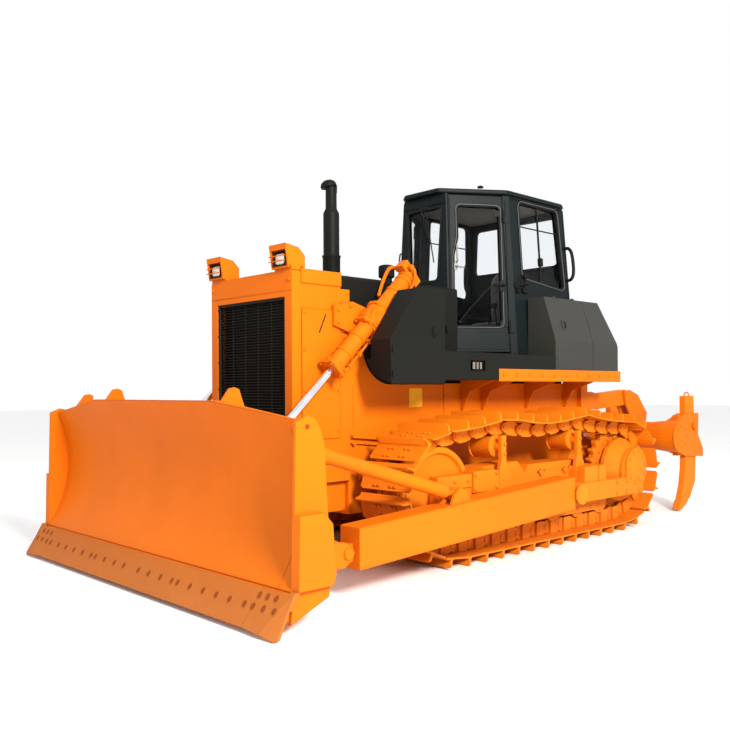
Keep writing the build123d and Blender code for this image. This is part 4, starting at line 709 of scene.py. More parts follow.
# The face plate stands in front of the arc: at each station across, z runs up to the sloping top and back.
def facePlate(stations=41, steps=25):
    across = np.linspace(-board["half"], board["half"], stations)
    top = board["high"] - np.maximum(np.abs(across) - board["shoulder"], 0) * board["shoulderFall"]
    share = np.linspace(0, 1, steps)
    z = board["low"] + (top[:, None] - board["low"]) * share[None, :]
    z = np.hstack([z, z[:, ::-1]])
    front = np.minimum(4 + 150 * np.minimum(share, 1 - share), board["lift"])
    lift = np.concatenate([front, np.full(steps, board["sunk"])])
    return skin(np.stack([np.repeat(across[:, None], 2 * steps, 1), onBoard(z) - lift, z], axis=-1))


def bladeWelds():
    shapes = [tube(boardLine(x, 262, high, board["lift"]), radius, 6)
              for x, high, radius in ((-1652, 1250, 3), (1652, 1250, 3), (-1774, 1230, 4), (1774, 1230, 4))]
    footY = float(onBoard(258.0)) - 6
    foot = np.column_stack([np.linspace(-1795, 1795, 15), np.full(15, footY), np.full(15, 256.0)])
    shapes.append(tube(foot, 5, 6, zAxis))
    # Weld beads where the doublers meet the end plates
    for x in (-1800, 1800):
        shapes.append(tube(((x, -3335, 703), (x, -3155, 703)), 6, 6))
        shapes.append(tube(((x, -3146, 700), (x, -3085, 632), (x, -3062, 340)), 6, 6))
    return shapes


# A pin's end caps, on both sides of the machine
def pinCaps(profile, place):
    return [lathe(profile, (side * place[0], *place[1:]), xAxis, 24) for side in (-1, 1)]


makePiece("blade_face", "blade_frame", "orange", [facePlate()])
makePiece("blade_welds", "blade_frame", "orange", bladeWelds())
# Each lug hole is a short dark disc on the lug's face: painted shade standing in for the hole.
lugHoles = [lathe(((0, 15), (6, 15), (7, 12)), (side * 1799, -3236, 1218), side * xAxis, 16)
            for side in (-1, 1)]
makePiece("blade_holes", "blade_frame", "socket", lugHoles)
liftPinX, liftPinY, liftPinZ = blade["liftPin"]
bladeFittings = pinCaps(fullProfile(((-42, 40), (-34, 46))), blade["liftPin"])
bladeFittings += pinCaps(fullProfile(((-70, 38), (-62, 42))), blade["armPin"])
bladeFittings += bolts([(side * liftPinX + 62, liftPinY, liftPinZ) for side in (-1, 1)], xAxis, 14, 12)
makePiece("blade_fittings", "blade_frame", "orange", bladeFittings, 2)
print("stage: blade")


# Push arms and brace: weld beads along the arms' edges, a stepped tube over the brace
arms = {"middle": 1430.0, "rear": (-49.0, 513.0), "front": (-2587.0, 367.0), "half": 141.0, "edge": 98,
        "weldFrom": 20, "weldTo": 2440}
brace = {"ends": ((-3000.0, 1058.0), (-1532.0, 629.0)),
         "half": ((112, 44), (112, 52), (124, 55), (240, 55), (250, 50.5))}


def armShapes():
    direction = unit((0, arms["rear"][0] - arms["front"][0], arms["rear"][1] - arms["front"][1]))
    up = np.cross(xAxis, direction)
    stations = np.linspace(arms["weldFrom"], arms["weldTo"], 6)[:, None]
    line = np.array((0, *arms["front"])) + direction * stations
    height, edge = arms["half"] - 4, arms["edge"]
    return [tube(line + up * rise + xAxis * (side * arms["middle"] + out), 6, 6)
            for side in (-1, 1) for rise in (-height, height) for out in (-edge, edge)]


def braceTube():
    start, end = (np.array((arms["middle"], *place)) for place in brace["ends"])
    length = math.dist(start, end)
    rows = brace["half"] + tuple((length - distance, radius) for distance, radius in brace["half"][::-1])
    return lathe(rows, start, end - start, 24)


makePiece("push_arm_detail", "blade_frame", "orange", armShapes() + [braceTube()])
print("stage: push arms")


# Lift cylinders: rings along the axis from trunnion (0) towards the rod eye
lift = {"x": 700.0, "trunnion": (-1693.0, 2014.0), "eye": (-2925.0, 851.0), "gland": 620.0, "cap": 565.0,
        "barrel": 70.0, "rod": 32.0, "bands": (-320, 250, 430), "feedClips": (180, 330, 470)}
liftWay = unit((0.0, lift["eye"][0] - lift["trunnion"][0], lift["eye"][1] - lift["trunnion"][1]))
liftUp = np.cross(xAxis, liftWay)
liftUp = liftUp if liftUp[2] > 0 else -liftUp


def liftPoint(side, distance, offset=0.0, rise=0.0):
    start = np.array((side * lift["x"] + offset, *lift["trunnion"]), float)
    return start + liftWay * distance + liftUp * rise


# Four bolts at the corners of a flange
def cornerBolts(side, distance, halfWidth, halfHeight):
    places = [liftPoint(side, distance, a, b)
              for a in (-halfWidth, halfWidth) for b in (-halfHeight, halfHeight)]
    return bolts(places, liftWay, 11, 12)


def barrelShapes(side):
    g, c, r = lift["gland"], lift["cap"], lift["barrel"]
    base = liftPoint(side, 0)
    flange = ((g - 62, r - 2), (g - 62, r + 14), (g - 58, r + 18), (g - 32, r + 18), (g - 28, r + 14),
              (g - 26, r + 8), (g - 8, r + 8), (g - 2, r + 2), (g + 2, 52), (g + 2, lift["rod"] + 3))
    collar = fullProfile(((-92, r), (-92, r + 18), (-88, r + 22), (-70, r + 22), (-64, r + 30)))
    rings = [flange, collar]
    for d in (-c + 46, -c + 96, *lift["bands"]):
        rings.append(fullProfile(((-12, r), (-12, r + 5), (-9, r + 7))) + (d, 0))
    shapes = [lathe(rows, base, liftWay, 32, True) for rows in rings]
    ringSpots = ringAround(liftPoint(side, g - 58), r + 11, evenAngles(8, 0.2), xAxis, liftUp)
    shapes += bolts(ringSpots, -liftWay, 9, 12)
    # A faceted yoke over the trunnion and a square flange at the gland
    yoke = np.array(((-76, -70), (-52, -98), (52, -98), (76, -70), (76, 70), (52, 98), (-52, 98), (-76, 70)))
    for d in (-112, 78):
        shapes.append(band(yoke, (liftPoint(side, d), xAxis, liftUp, liftWay), 0, -34, 0, 34))
        shapes += cornerBolts(side, d + 34, 58, 76)
    flangePlate = roundedOutline(rectangle(-86, 86, -86, 86), 22)
    shapes.append(band(flangePlate, (liftPoint(side, g - 30), xAxis, liftUp, liftWay), 0, -48, 0, 26))
    shapes += cornerBolts(side, g - 4, 64, 64)
    turns = np.radians((40, 90, 140, 220, 270, 320))
    for d, way in ((94, 1), (-94, -1)):
        spots = ringAround(liftPoint(side, d), r + 13, turns, xAxis, liftUp)
        shapes += bolts(spots, way * liftWay, 10, 12)
    # Head block with cross fittings at the cap end
    head = liftPoint(side, -c - 8, 0, 20)
    section = ((-46, -60), (46, -60), (46, 84), (34, 96), (-34, 96), (-46, 84))
    shapes.append(prism(section, head - liftWay * 36, xAxis, liftUp, liftWay * 70))
    for way in (-1, 1):
        fitting = ((0, 22), (26, 22), (28, 26), (44, 26), (46, 22))
        shapes.append(lathe(fitting, head + way * 44 * xAxis + liftUp * 52, way * xAxis, 6))
    return shapes


# A pipe through places of (distance along the cylinder, distance outwards, rise)
def liftPipe(side, places, radius, reference):
    knots = [liftPoint(side, d, side * out, rise) for d, out, rise in places]
    return tube(curve(knots), radius, 12, reference)


def pipeShapes(side):
    head = -lift["cap"] - 8
    upper = ((head, -92, 72), (head - 6, -128, 96), (head + 50, -138, 112), (head + 190, -122, 84),
             (head + 330, -92, 46))
    lower = ((head, 80, 66), (head + 8, 98, 40), (head + 60, 94, -20), (head + 160, 66, -62),
             (head + 300, 40, -86), (-130, 40, -94))
    return [liftPipe(side, upper, 15, (0.3, 1, 0)), liftPipe(side, lower, 13, (0.3, 1, 0))]


def feedShapes(side):
    g = lift["gland"]
    places = ((100, 52, -80), (200, 40, -84), (g - 150, 40, -84), (g - 90, 38, -82), (g - 74, 34, -72))
    clip = rectangle(-22, 22, -16, 16)
    clips = [prism(clip, liftPoint(side, d, side * 40, -80), xAxis, liftUp, liftWay * 30)
             for d in lift["feedClips"]]
    return [liftPipe(side, places, 11, xAxis)] + clips


for name, side in (("left", 1), ("right", -1)):
    cylinder = barrelShapes(side) + pipeShapes(side)
    makePiece(f"lift_cylinder_{name}", f"lift_barrel_{name}", "orange", cylinder, 1)
    makePiece(f"lift_pipe_{name}", f"lift_barrel_{name}", "orange", feedShapes(side), 1)
    eye = liftPoint(side, math.dist(lift["trunnion"], lift["eye"]))
    collar = lathe(((-135, 38), (-135, 46), (-128, 50), (-70, 54), (-62, 50), (-62, 38)), eye, liftWay, 28)
    makePiece(f"lift_rod_fittings_{name}", f"lift_rod_{name}", "orange", [collar])
print("stage: lift cylinders")


# Grille: slanted louvres between recessed upright dividers
grille = {"half": 478.0, "low": 960.0, "high": 2159.0, "front": -2409.0, "louvres": 50, "dividers": 4,
          "border": 22.0, "louvre": ((-7, -4), (-5, -6), (13, 4), (12, 6)), "divider": (13, 26)}


# A plane across the vehicle that faces forwards
def facing(y):
    return np.array((0, y, 0.0)), xAxis, zAxis, -yAxis


def grilleShapes():
    h, low, high, y, b = (grille[k] for k in ("half", "low", "high", "front", "border"))
    border = band(rectangle(-h, h, low, high), facing(y), 0.5, -b, -30, 0)
    z = np.linspace(low + b + 9, high - b - 9, grille["louvres"])
    places = np.column_stack([0 * z, np.full(len(z), y + 16), z])
    louvres = copies(slab(grille["louvre"], -h + 4, h - 4), places)
    x = np.linspace(-h + b, h - b, grille["dividers"] + 2)[1:-1]
    near, far = grille["divider"]
    upright = block((-3, 3), (y + near, y + far), (low + 4, high - 4))
    bars = copies(upright, np.column_stack([x, 0 * x, 0 * x]))
    spots = [(side * (h - 10), y - 1, z) for side in (-1, 1) for z in np.linspace(low + 40, high - 40, 6)]
    return [border, louvres, bars] + bolts(spots, -yAxis, 6, 6)


makePiece("grille_louvres", "chassis", "iron", grilleShapes(), 0, ("grille",))


# Lamps: a dark box inside each hood that is painted shade, a bulged lens in a bezel and guard bars in each
# hood
lamps = {"middle": 455.0, "z": 2452.0, "front": -2446.0, "halfWidth": 62, "halfHeight": 42, "corner": 22,
         "bars": (-22, 18), "barY": -2470, "boxHalf": 91, "boxLow": 2393.5, "boxHigh": 2513.5,
         "hoodEdge": ((-2443, 2379), (-2470, 2556), (-2342, 2534), (-2283, 2476)), "hoodSides": (350, 560),
         "bulge": ((34, 0.86), (12, 1.0), (6, 0.99), (0, 0.88), (-4, 0.66), (-6, 0.34))}


# The lens is its rounded outline at steps of (depth, scale).
def lensShape(x, z):
    w, h = lamps["halfWidth"], lamps["halfHeight"]
    outline = roundedOutline(rectangle(-w, w, -h, h), lamps["corner"])
    rows = [np.column_stack([x + outline[:, 0] * scale, np.full(len(outline), lamps["front"] + depth),
                             z + outline[:, 1] * scale]) for depth, scale in lamps["bulge"]]
    return skin(np.stack(rows))


lensShapes, rimShapes, shadedBoxShapes, barShapes, hoodEdges = [], [], [], [], []
for side in (-1, 1):
    m, z, front, half = side * lamps["middle"], lamps["z"], lamps["front"], lamps["boxHalf"]
    lensShapes.append(lensShape(m, z - 4))
    rim = roundedOutline(rectangle(m - 64, m + 64, z - 48, z + 40), 18)
    rimShapes.append(band(rim, facing(0), -1, 5, -front - 34, -front + 3))
    for height in lamps["bars"]:
        ends = [(m + x, lamps["barY"], z + height) for x in (-108, 96)]
        barShapes.append(tube(ends, 4.5, 8, zAxis))
    # The box's walls, back and floor take the dark socket colour as painted shade inside the hood.
    inside = rectangle(m - half, m + half, lamps["boxLow"], lamps["boxHigh"])
    shadedBoxShapes.append(band(inside, facing(0), 0, -2.5, 2345, 2452))
    shadedBoxShapes.append(block((m - 90, m + 90), (-2352, -2340), (2395, 2512)))
    shadedBoxShapes.append(slab(rectangle(-2380, -2420, 2393, 2398), m - 70, m + 70))
    for x in lamps["hoodSides"]:
        hoodEdges.append(tube([(side * x, y, z) for y, z in lamps["hoodEdge"]], 3, 6))
    hoodEdges += bolts([(side * 566, y, 2392) for y in (-2420, -2310)], side * xAxis, 8, 8)
makePiece("lamp_lenses", "chassis", "lens", lensShapes, 0, ("headlamps",))
makePiece("lamp_linings", "chassis", "iron", rimShapes)
makePiece("lamp_boxes", "chassis", "socket", shadedBoxShapes)
makePiece("lamp_hood_edges", "chassis", "orange", hoodEdges + barShapes)
print("stage: grille and lamps")


# Exhaust stack with a hollow mouth under a leaning rain cap; profiles are (height, radius).
stack = {"y": -1549.0, "rows": ((2368, 104), (2378, 104), (2382, 98), (2384, 78), (2604, 78), (2612, 83),
                                (2624, 83), (2630, 71), (2990, 71), (3006, 68), (3042, 50), (3226, 49),
                                (3228, 47), (3226, 43), (3120, 43)),
         "cap": ((-2, 40), (-6, 62), (-2, 70), (16, 72), (38, 62), (54, 40), (62, 14)),
         "capAt": (-14.0, -1563.0, 3236.0), "lean": (-0.2, -0.2, 1.0), "bolts": (8, 90.0, 2379.0)}
boltCount, boltReach, boltHeight = stack["bolts"]
stackSpots = ringAround((0, stack["y"], boltHeight), boltReach, evenAngles(boltCount, 0.3), xAxis, yAxis)
stackShapes = [lathe(stack["rows"], (0, stack["y"], 0), zAxis, 36),
               lathe(stack["cap"], stack["capAt"], stack["lean"], 36)]
stackShapes += bolts(stackSpots, zAxis, 8, 9)
stackShapes.append(block((-9, 9), (stack["y"] + 44, stack["y"] + 62), (3190, 3262)))
makePiece("exhaust_stack", "chassis", "black", stackShapes, 0, ("exhaust",))


# Hood: intake and filler caps, side door seams, hinges, seams over the top
hood = {"seams": (-1180.0, -700.0), "hinges": (-1120, -780, -640), "topSeams": (-1500, -1020),
        "caps": ((330, -1190, 28,
                  ((2366, 50), (2424, 50), (2430, 66), (2440, 72), (2520, 72), (2534, 66), (2542, 40))),
                 (-300, -1700, 20, ((2366, 34), (2392, 34), (2396, 46), (2420, 46), (2426, 38))),
                 (190, -1540, 16, ((2366, 14), (2400, 14), (2404, 20), (2424, 20), (2428, 12))))}


# A block proud of a side wall, between two distances from the middle
def sideBlock(side, inner, outer, ys, zs):
    return block(sorted((side * inner, side * outer)), ys, zs)


hoodShapes = [lathe(rows, (x, y, 0), zAxis, steps) for x, y, steps, rows in hood["caps"]]
for side in (-1, 1):
    hoodShapes += [sideBlock(side, 543, 548, (y - 2, y + 2), (1560, 2330)) for y in hood["seams"]]
    for y in hood["hinges"]:
        hoodShapes.append(sideBlock(side, 545, 562, (y - 14, y + 14), (1960, 2020)))
        hoodShapes.append(sideBlock(side, 560, 570, (y - 8, y + 8), (1950, 1990)))
hoodShapes += [block((-500, 500), (y - 3, y + 3), (2368, 2373)) for y in hood["topSeams"]]
makePiece("hood_fittings", "chassis", "black", hoodShapes, 1.5)


def sideBolts(side, x, places, radius, height):
    return bolts([(side * x, y, z) for y, z in places], side * xAxis, radius, height)


def crossed(ys, zs):
    return [(y, z) for y in ys for z in zs]


# Radiator guard: an edge bead round each side cover, its bolts and those of the lift cylinder's bracket
guard = {"coverX": 581, "bead": ((-2327, 1060), (-2327, 2070), (-1946, 2070), (-1946, 1060)),
         "coverBolts": ((-2304, -1967), (1110, 1430, 1750, 2040)), "footX": 570,
         "footBolts": ((-2385, -1880), (800, 900)), "bracketX": 613,
         "bracketBolts": ((-1990, 2080), (-1990, 1980), (-1860, 2115), (-1860, 1925)),
         "front": -2418, "frontBolts": ((-538, 538), (740, 2290)), "seamZ": 2208, "seamHalf": 560}


def guardShapes():
    shapes = []
    for side in (-1, 1):
        shapes.append(tube([(side * guard["coverX"], y, z) for y, z in guard["bead"]], 4, 6))
        shapes += sideBolts(side, guard["coverX"], crossed(*guard["coverBolts"]), 11, 9)
        shapes += sideBolts(side, guard["footX"], crossed(*guard["footBolts"]), 12, 10)
        shapes += sideBolts(side, guard["bracketX"], guard["bracketBolts"], 15, 12)
    shapes += bolts([(x, guard["front"], z) for x, z in crossed(*guard["frontBolts"])], -yAxis, 13, 11)
    seam = [(x, guard["front"] - 1, guard["seamZ"]) for x in (-guard["seamHalf"], guard["seamHalf"])]
    shapes.append(tube(seam, 3, 6, zAxis))
    return shapes


# Hull side: bolts under its sloping top edge, a seam, and two covers of (outer face, ys, zs) with a bolt
# in every corner
hull = {"x": 571, "topBolts": (-1790, -1500, -1210, -920), "topFront": (-1834, 1045), "topFall": (109, 1120),
        "boltDrop": 46, "seam": ((-1800, 1476), (-1800, 1120)), "coverInset": 20,
        "covers": ((584, (-1745, -1580), (690, 870)), (580, (-1330, -1000), (600, 830)))}


def hullShapes():
    shapes = []
    (frontY, frontZ), (fall, along), inset = hull["topFront"], hull["topFall"], hull["coverInset"]
    spots = [(y, frontZ - (y - frontY) * fall / along - hull["boltDrop"]) for y in hull["topBolts"]]
    for side in (-1, 1):
        shapes += sideBolts(side, hull["x"], spots, 13, 10)
        shapes.append(tube([(side * hull["x"], y, z) for y, z in hull["seam"]], 4, 6))
        for outer, ys, zs in hull["covers"]:
            shapes.append(sideBlock(side, 568, outer, ys, zs))
            corners = crossed((ys[0] + inset, ys[1] - inset), (zs[0] + inset, zs[1] - inset))
            shapes += sideBolts(side, outer + 1, corners, 12, 10)
    return shapes


makePiece("guard_fittings", "chassis", "orange", guardShapes(), 1)
makePiece("hull_fittings", "chassis", "orange", hullShapes(), 1.5)
# A thin near-black plate on each guard side is painted shade standing in for a slot.
slotShade = slab(((-2100, 2032), (-2086, 2036), (-2154, 1886), (-2168, 1882)), 578, 583)
makePiece("guard_slot_shade", "chassis", "iron", pair(slotShade))
plateShapes = [block((568, 573), (-1155, -991), (1281, 1449))]
plateShapes += sideBolts(1, 573, crossed((-1145, -1001), (1291, 1439)), 4, 4)
makePiece("data_plate", "chassis", "plate", plateShapes, 1)
print("stage: hood and guard")


# Tank: lids proud of the skin and on its slanted upper side, seams, a filler with its handle
pod = {"x": 1050.0, "kneeZ": 1900.0, "slope": (-138.0, 430.0)}
podX, (slopeRun, slopeRise) = pod["x"], pod["slope"]
slopeUp, slopeOut = unit((slopeRun, 0, slopeRise)), unit((slopeRise, 0, -slopeRun))
podSlope = (np.array((podX, 0, pod["kneeZ"])), yAxis, slopeUp, slopeOut)


def lid(x, sides, thickness, radius):
    outline = roundedOutline(rectangle(*sides), radius)
    rows = [np.column_stack([np.full(len(outline), x + depth), offsetOutline(outline, amount)])
            for depth, amount in ((-3, 0), (thickness - 2, 0), (thickness, -2))]
    return skin(np.stack(rows))


def lidOnSlope(sides, thickness):
    return onPlane(podSlope, roundedOutline(rectangle(*sides), 26), -3, thickness)


def latchShapes(y, z):
    return [lid(podX, (y - 26, y + 26, z - 44, z + 44), 10, 22),
            lid(podX + 8, (y - 15, y + 15, z - 30, z + 16), 10, 12)]


tankShapes = [lidOnSlope((530, 602, 118, 222), 8), lidOnSlope((546, 586, 136, 196), 16),
              lid(podX, (392, 834, 1632, 1805), 4, 8)]
for y in (520, 840):
    tankShapes.append(prism(rectangle(-22, 22, -7, 7), (912, y, 2322), yAxis, slopeOut, slopeUp * 20))
fillerRows = ((0, 62), (14, 62), (18, 48), (30, 48), (34, 66), (60, 66), (66, 58))
filler = [lathe(fillerRows, (-816, 1240, 2328), zAxis, 28),
          tube(curve(((-790, 1300, 2390), (-816, 1318, 2376), (-816, 1330, 2336))), 5, 8)]
makePiece("tank_panels", "chassis", "tank", pair(*tankShapes) + filler, 1)
seams = [block((1046, 1052), (998, 1002), (1618, 1900)),
         onPlane(podSlope, rectangle(998, 1002, 0, 450), -4, 1)]
makePiece("tank_seams", "chassis", "iron", pair(*seams))

# Front lockers: hinges and latch
lockerShapes = latchShapes(-1330, 1903)
lockerShapes += [tube(((1058, -1812, z - 26), (1058, -1812, z + 26)), 8, 10) for z in (1560, 1750)]
makePiece("locker_panels", "chassis", "black", pair(*lockerShapes), 1)
locker = {"inside": 820, "stations": ((-1831, 1830), (-1530, 2250), (-1209, 2250)),
          "corner": ((820, 1688), (770, 1672), (790, 1634), (812, 1603), (852, 1566), (906, 1537),
                     (971, 1514), (1036, 1490), (1050, 1477))}


# Locker shell: one section with a swept lower inner corner, carried back under a top that rises from the nose
def lockerShell():
    rows = [[(podX, y, top), (locker["inside"], y, top)] + [(x, y, z) for x, z in locker["corner"]]
            for y, top in locker["stations"]]
    return skin(np.array(rows, float))


makePiece("locker_shells", "chassis", "black", pair(lockerShell()), 3, ("front_lockers",))

# Platform: tread studs, pale patches of painted light in the slots of the skirt's recess, bars between and
# along them
platform = {"studStep": 34.0, "studX": (784, 1022), "studY": (-1166, -450), "studZ": 1753.0,
            "slots": (-834, -790, -746), "slotBars": (-812, -768)}
studX, studY = np.meshgrid(*(np.arange(*platform[axis], platform["studStep"]) for axis in ("studX", "studY")))
studs = np.column_stack([studX.ravel(), studY.ravel(), np.full(studX.size, platform["studZ"])])
backRow = np.column_stack([np.linspace(780, 1030, 8), np.full(8, -420.0), np.full(8, 1748.0)])
stud = lathe(((-1, 9), (2, 9), (4, 6)), (0, 0, 0), zAxis, 8)
studShapes = [copies(stud, places * (side, 1, 1)) for places in (studs, backRow) for side in (1, -1)]
makePiece("tread_studs", "chassis", "black", studShapes)
# Pale blocks in the skirt's slots are painted light showing through the openings.
paintedSlotLight = [block((1036, 1042), (y - 15, y + 15), (1608, 1668)) for y in platform["slots"]]
makePiece("step_slot_light", "chassis", "lining", pair(*paintedSlotLight))
slotBars = [block((1020, 1046), (y - 8, y + 8), (1598, 1680)) for y in platform["slotBars"]]
slotBars += [block((1046, 1054), (-905, -675), zs) for zs in ((1681, 1690), (1588, 1596))]
makePiece("step_bars", "chassis", "black", pair(*slotBars), 1)

# Fender beam: bolts along its web and a rolled lower edge
fenderShapes = bolts([(1051, y, 1562) for y in np.arange(-440, 1500, 194.0)], xAxis, 12, 9)
fenderShapes.append(tube(((1044, -500, 1509), (1044, 1514, 1509)), 6, 8, zAxis))
makePiece("fender_bolts", "chassis", "orange", pair(*fenderShapes))
print("stage: lockers and tank")


# Ripper: shank pins and holes, beam end caps, cylinder glands and rigid pipes
ripper = {"axis": (2703.0, 879.0), "half": 1123.0, "shanks": (-1000.0, 0.0, 1000.0),
          "bracketPin": (1751.0, 1290.0), "cylinder": ((1620.0, 1340.0), (2280.0, 692.0)), "cylinderX": 250.0,
          "shankPin": (3135, 980),
          "endCap": ((-14, 168), (-14, 180), (-6, 184), (4, 184), (8, 178), (8, 60), (14, 54)),
          "tip": ((2790, 14), (2860, 18), (3000, 82), (3040, 150), (2990, 190), (2900, 150), (2846, 110)),
          "loop": ((-26, 1338), (-26, 1366), (0, 1384), (26, 1366), (26, 1338)),
          "weld": ((2720, 1055), (2950, 1132), (3240, 1132)),
          "pipe": ((90, 56), (96, 86), (130, 94), (300, 92), (330, 80), (336, 56))}


# A turned part whose axis runs across the vehicle, about the line at (y, z)
def crossLathe(profile, x, place, steps, side=1, closed=False):
    return lathe(profile, (x, *place), side * xAxis, steps, closed)


beamShapes, shankShapes, shankLoops = [], [], []
for side in (-1, 1):
    outer = side * ripper["half"]
    beamShapes.append(crossLathe(ripper["endCap"], outer, ripper["axis"], 40, side))
    capSpots = ringAround((outer + side * 8, *ripper["axis"]), 120, evenAngles(8))
    beamShapes += bolts(capSpots, side * xAxis, 13, 12)
for x in ripper["shanks"]:
    for side in (-1, 1):
        collar = ((-2, 44), (10, 44), (14, 36), (22, 34))
        beamShapes.append(crossLathe(collar, x + side * 76, ripper["shankPin"], 20, side))
    beamShapes.append(crossLathe(fullProfile(((-86, 22), (-82, 28))), x, ripper["shankPin"], 20))
for x in ripper["shanks"]:
    beamShapes += [tube([(x + out, y, z) for y, z in ripper["weld"]], 6, 6) for out in (-54, 54)]
    eyeRows = ((-37, 30), (-34, 34), (34, 34), (37, 30), (37, 20), (-37, 20))
    shankShapes.append(crossLathe(eyeRows, x, (3075, 1280), 20, 1, True))
    shankShapes.append(slab(ripper["tip"], x - 44, x + 44))
    shankShapes.append(crossLathe(fullProfile(((-48, 12), (-46, 16))), x, (2975, 130), 14))
    shankLoops.append(tube(curve([(x + out, 3080, z) for out, z in ripper["loop"]], 5), 8, 10, yAxis))
makePiece("ripper_beam_detail", "ripper_beam", "orange", beamShapes, 1)
makePiece("shank_tips", "ripper_beam", "lit_casting", shankShapes + shankLoops, 2)

# Ripper cylinders: a gland ring, and a pipe through places of (distance along the cylinder, rise)
cylinderShapes, cylinderPipes = [], []
(y0, z0), (y1, z1) = ripper["cylinder"]
cylinderWay = np.array((0, y1 - y0, z1 - z0)) / math.dist((y0, z0), (y1, z1))
cylinderUp = np.cross(cylinderWay, xAxis)
cylinderUp = cylinderUp if cylinderUp[2] > 0 else -cylinderUp
for side in (-1, 1):
    base = np.array((side * ripper["cylinderX"], y0, z0))
    gland = ((64, 40), (64, 58), (70, 62), (100, 62), (106, 58.5), (106, 40))
    cylinderShapes.append(lathe(gland, base, cylinderWay, 28))
    line = [base + cylinderWay * distance + cylinderUp * rise for distance, rise in ripper["pipe"]]
    cylinderPipes.append(tube(curve(line, 5), 9, 10))
makePiece("ripper_cylinder_detail", "ripper_barrels", "orange", cylinderShapes)
makePiece("ripper_pipes", "ripper_barrels", "zinc", cylinderPipes)
capShapes = []
for side in (-1, 1):
    low, high = sorted((side * 621, side * 634))
    capRows = ((low, 46 * 0.86), (low + 4, 46), (high - 4, 46), (high, 46 * 0.86))
    capShapes.append(crossLathe(capRows, 0, ripper["bracketPin"], 24))
backSpots = [(side * x, 1541, z) for side in (-1, 1) for x in (480, 400, 120) for z in (560, 700, 1180, 1380)]
makePiece("ripper_bracket_caps", "chassis", "orange", capShapes + bolts(backSpots, yAxis, 15, 12), 1)

# Final drives: a stepped dome with a ring of bolts, outside the track
drive = {"place": (1373.0, 640.0), "bolts": (1323.0, 156, 10),
         "rows": ((1300, 190), (1316, 192), (1322, 186), (1324, 126), (1328, 118), (1334, 60))}
driveShapes = []
for side in (-1, 1):
    out, reach, count = drive["bolts"]
    driveShapes.append(crossLathe(drive["rows"], 0, drive["place"], 48, side))
    driveSpots = ringAround((side * out, *drive["place"]), reach, evenAngles(count, 0.1))
    driveShapes += bolts(driveSpots, side * xAxis, 13, 11)
makePiece("final_drive_caps", "chassis", "lit_casting", driveShapes)

# Roller frames: weld beads, bolts on the top and the sides as (x, ys, zs, radius, height), a guard rail
frameBolts = ((1319, (240, 420, 1000, 1180, 1420), (400, 512), 17, 13),
              (1231, (-1040, -770), (610, 730), 15, 12), (1216, (-1440, -1280, -1120), (690,), 14, 12),
              (1207, (-629, 521), (880, 960), 13, 11))
frameShapes = [tube(((x, -118, 548), (x, 1498, 548)), 5, 6, zAxis) for x in (1140, 1282)]
frameShapes += bolts([(x, y, 693) for x in (1171, 1225) for y in (-60, 320, 680)], zAxis, 15, 12)
for x, ys, zs, radius, height in frameBolts:
    frameShapes += sideBolts(1, x, crossed(ys, zs), radius, height)
guardRail = ((-880, 236), (860, 236), (880, 262), (880, 300), (-900, 300), (-900, 262))
frameShapes.append(slab(guardRail, 1139, 1150))
frameShapes += sideBolts(1, 1150, crossed(np.arange(-820, 860, 230.0), (270,)), 12, 10)
makePiece("roller_frame_detail", "chassis", "lit_casting", pair(*frameShapes), 1)
print("stage: rear and running gear")


# Cab: every wall has a plane whose u runs along it, v up it and w outwards.
# Its window is an outline on that plane and a corner radius.
cab = {"low": ((350.0, -399.0), (720.0, 195.0), (720.0, 1142.0)),
       "high": ((280.0, -357.0), (620.0, 189.0), (620.0, 1091.0)), "lowZ": 1780.0, "highZ": 3330.0,
       "front": (((148, 705), (552, 705), (592, 1428), (108, 1428)), 50),
       "door": (((56, 257), (556, 257), (545, 1440), (104, 1440), (108, 1120), (66, 950)), 45),
       "side": (((137, 757), (850, 674), (786, 1515), (128, 1515)), 60),
       "rear": (((125, 950), (1315, 950), (1275, 1470), (165, 1470)), 60)}


def wallPlane(k0, side0, k1, side1):
    a, b = (np.array((side * cab["low"][k][0], cab["low"][k][1], cab["lowZ"]))
            for k, side in ((k0, side0), (k1, side1)))
    c = np.array((side0 * cab["high"][k0][0], cab["high"][k0][1], cab["highZ"]))
    u = unit(b - a)
    w = unit(np.cross(u, c - a))
    return a, u, np.cross(w, u), w


walls = {"front": wallPlane(0, -1, 0, 1), "door": wallPlane(0, 1, 1, 1), "side": wallPlane(1, 1, 2, 1),
         "rear": wallPlane(2, 1, 2, -1)}


def spot(wall, along, up, out=0.0):
    a, u, v, w = walls[wall]
    return a + u * along + v * up + w * out


# A round bar through places of (along, up, out) on a wall, straight or smoothed
def rail(wall, places, radius, sides, reference, smooth=0):
    line = [spot(wall, *place) for place in places]
    return tube(curve(line, smooth) if smooth else line, radius, sides, reference)


def pad(wall, sides, corner, low, high):
    return onPlane(walls[wall], roundedOutline(rectangle(*sides), corner), low, high)


# A turned knob that stands on a wall, its profile in (out, radius)
def knob(wall, profile, place, steps):
    return lathe(profile, spot(wall, *place), walls[wall][3], steps)


def wallBolts(wall, alongs, up, out, radius, height):
    return bolts([spot(wall, along, up, out) for along in alongs], walls[wall][3], radius, height)


def sealShapes(wall):
    outline = roundedOutline(*cab[wall], 7)
    return [band(outline, walls[wall], *sides)
            for sides in ((12, -13, 0, 7), (1, -9, -34, 5), (12, -13, -57, -49))]


# A thin trim runs round the glass of the doors and the side windows.
def beadShape(wall):
    return band(offsetOutline(roundedOutline(*cab[wall], 7), 4), walls[wall], 1, 4.5, 6, 9)


# Door: a lower panel pressed proud of the skin, and the frame's edge beads
def doorShapes():
    edges = (((36, 24, 1), (36, 1500, 1)), ((618, 24, 1), (600, 1500, 1)))
    return [pad("door", (60, 600, 40, 210), 24, -2, 5)] + [rail("door", edge, 4, 6, xAxis) for edge in edges]


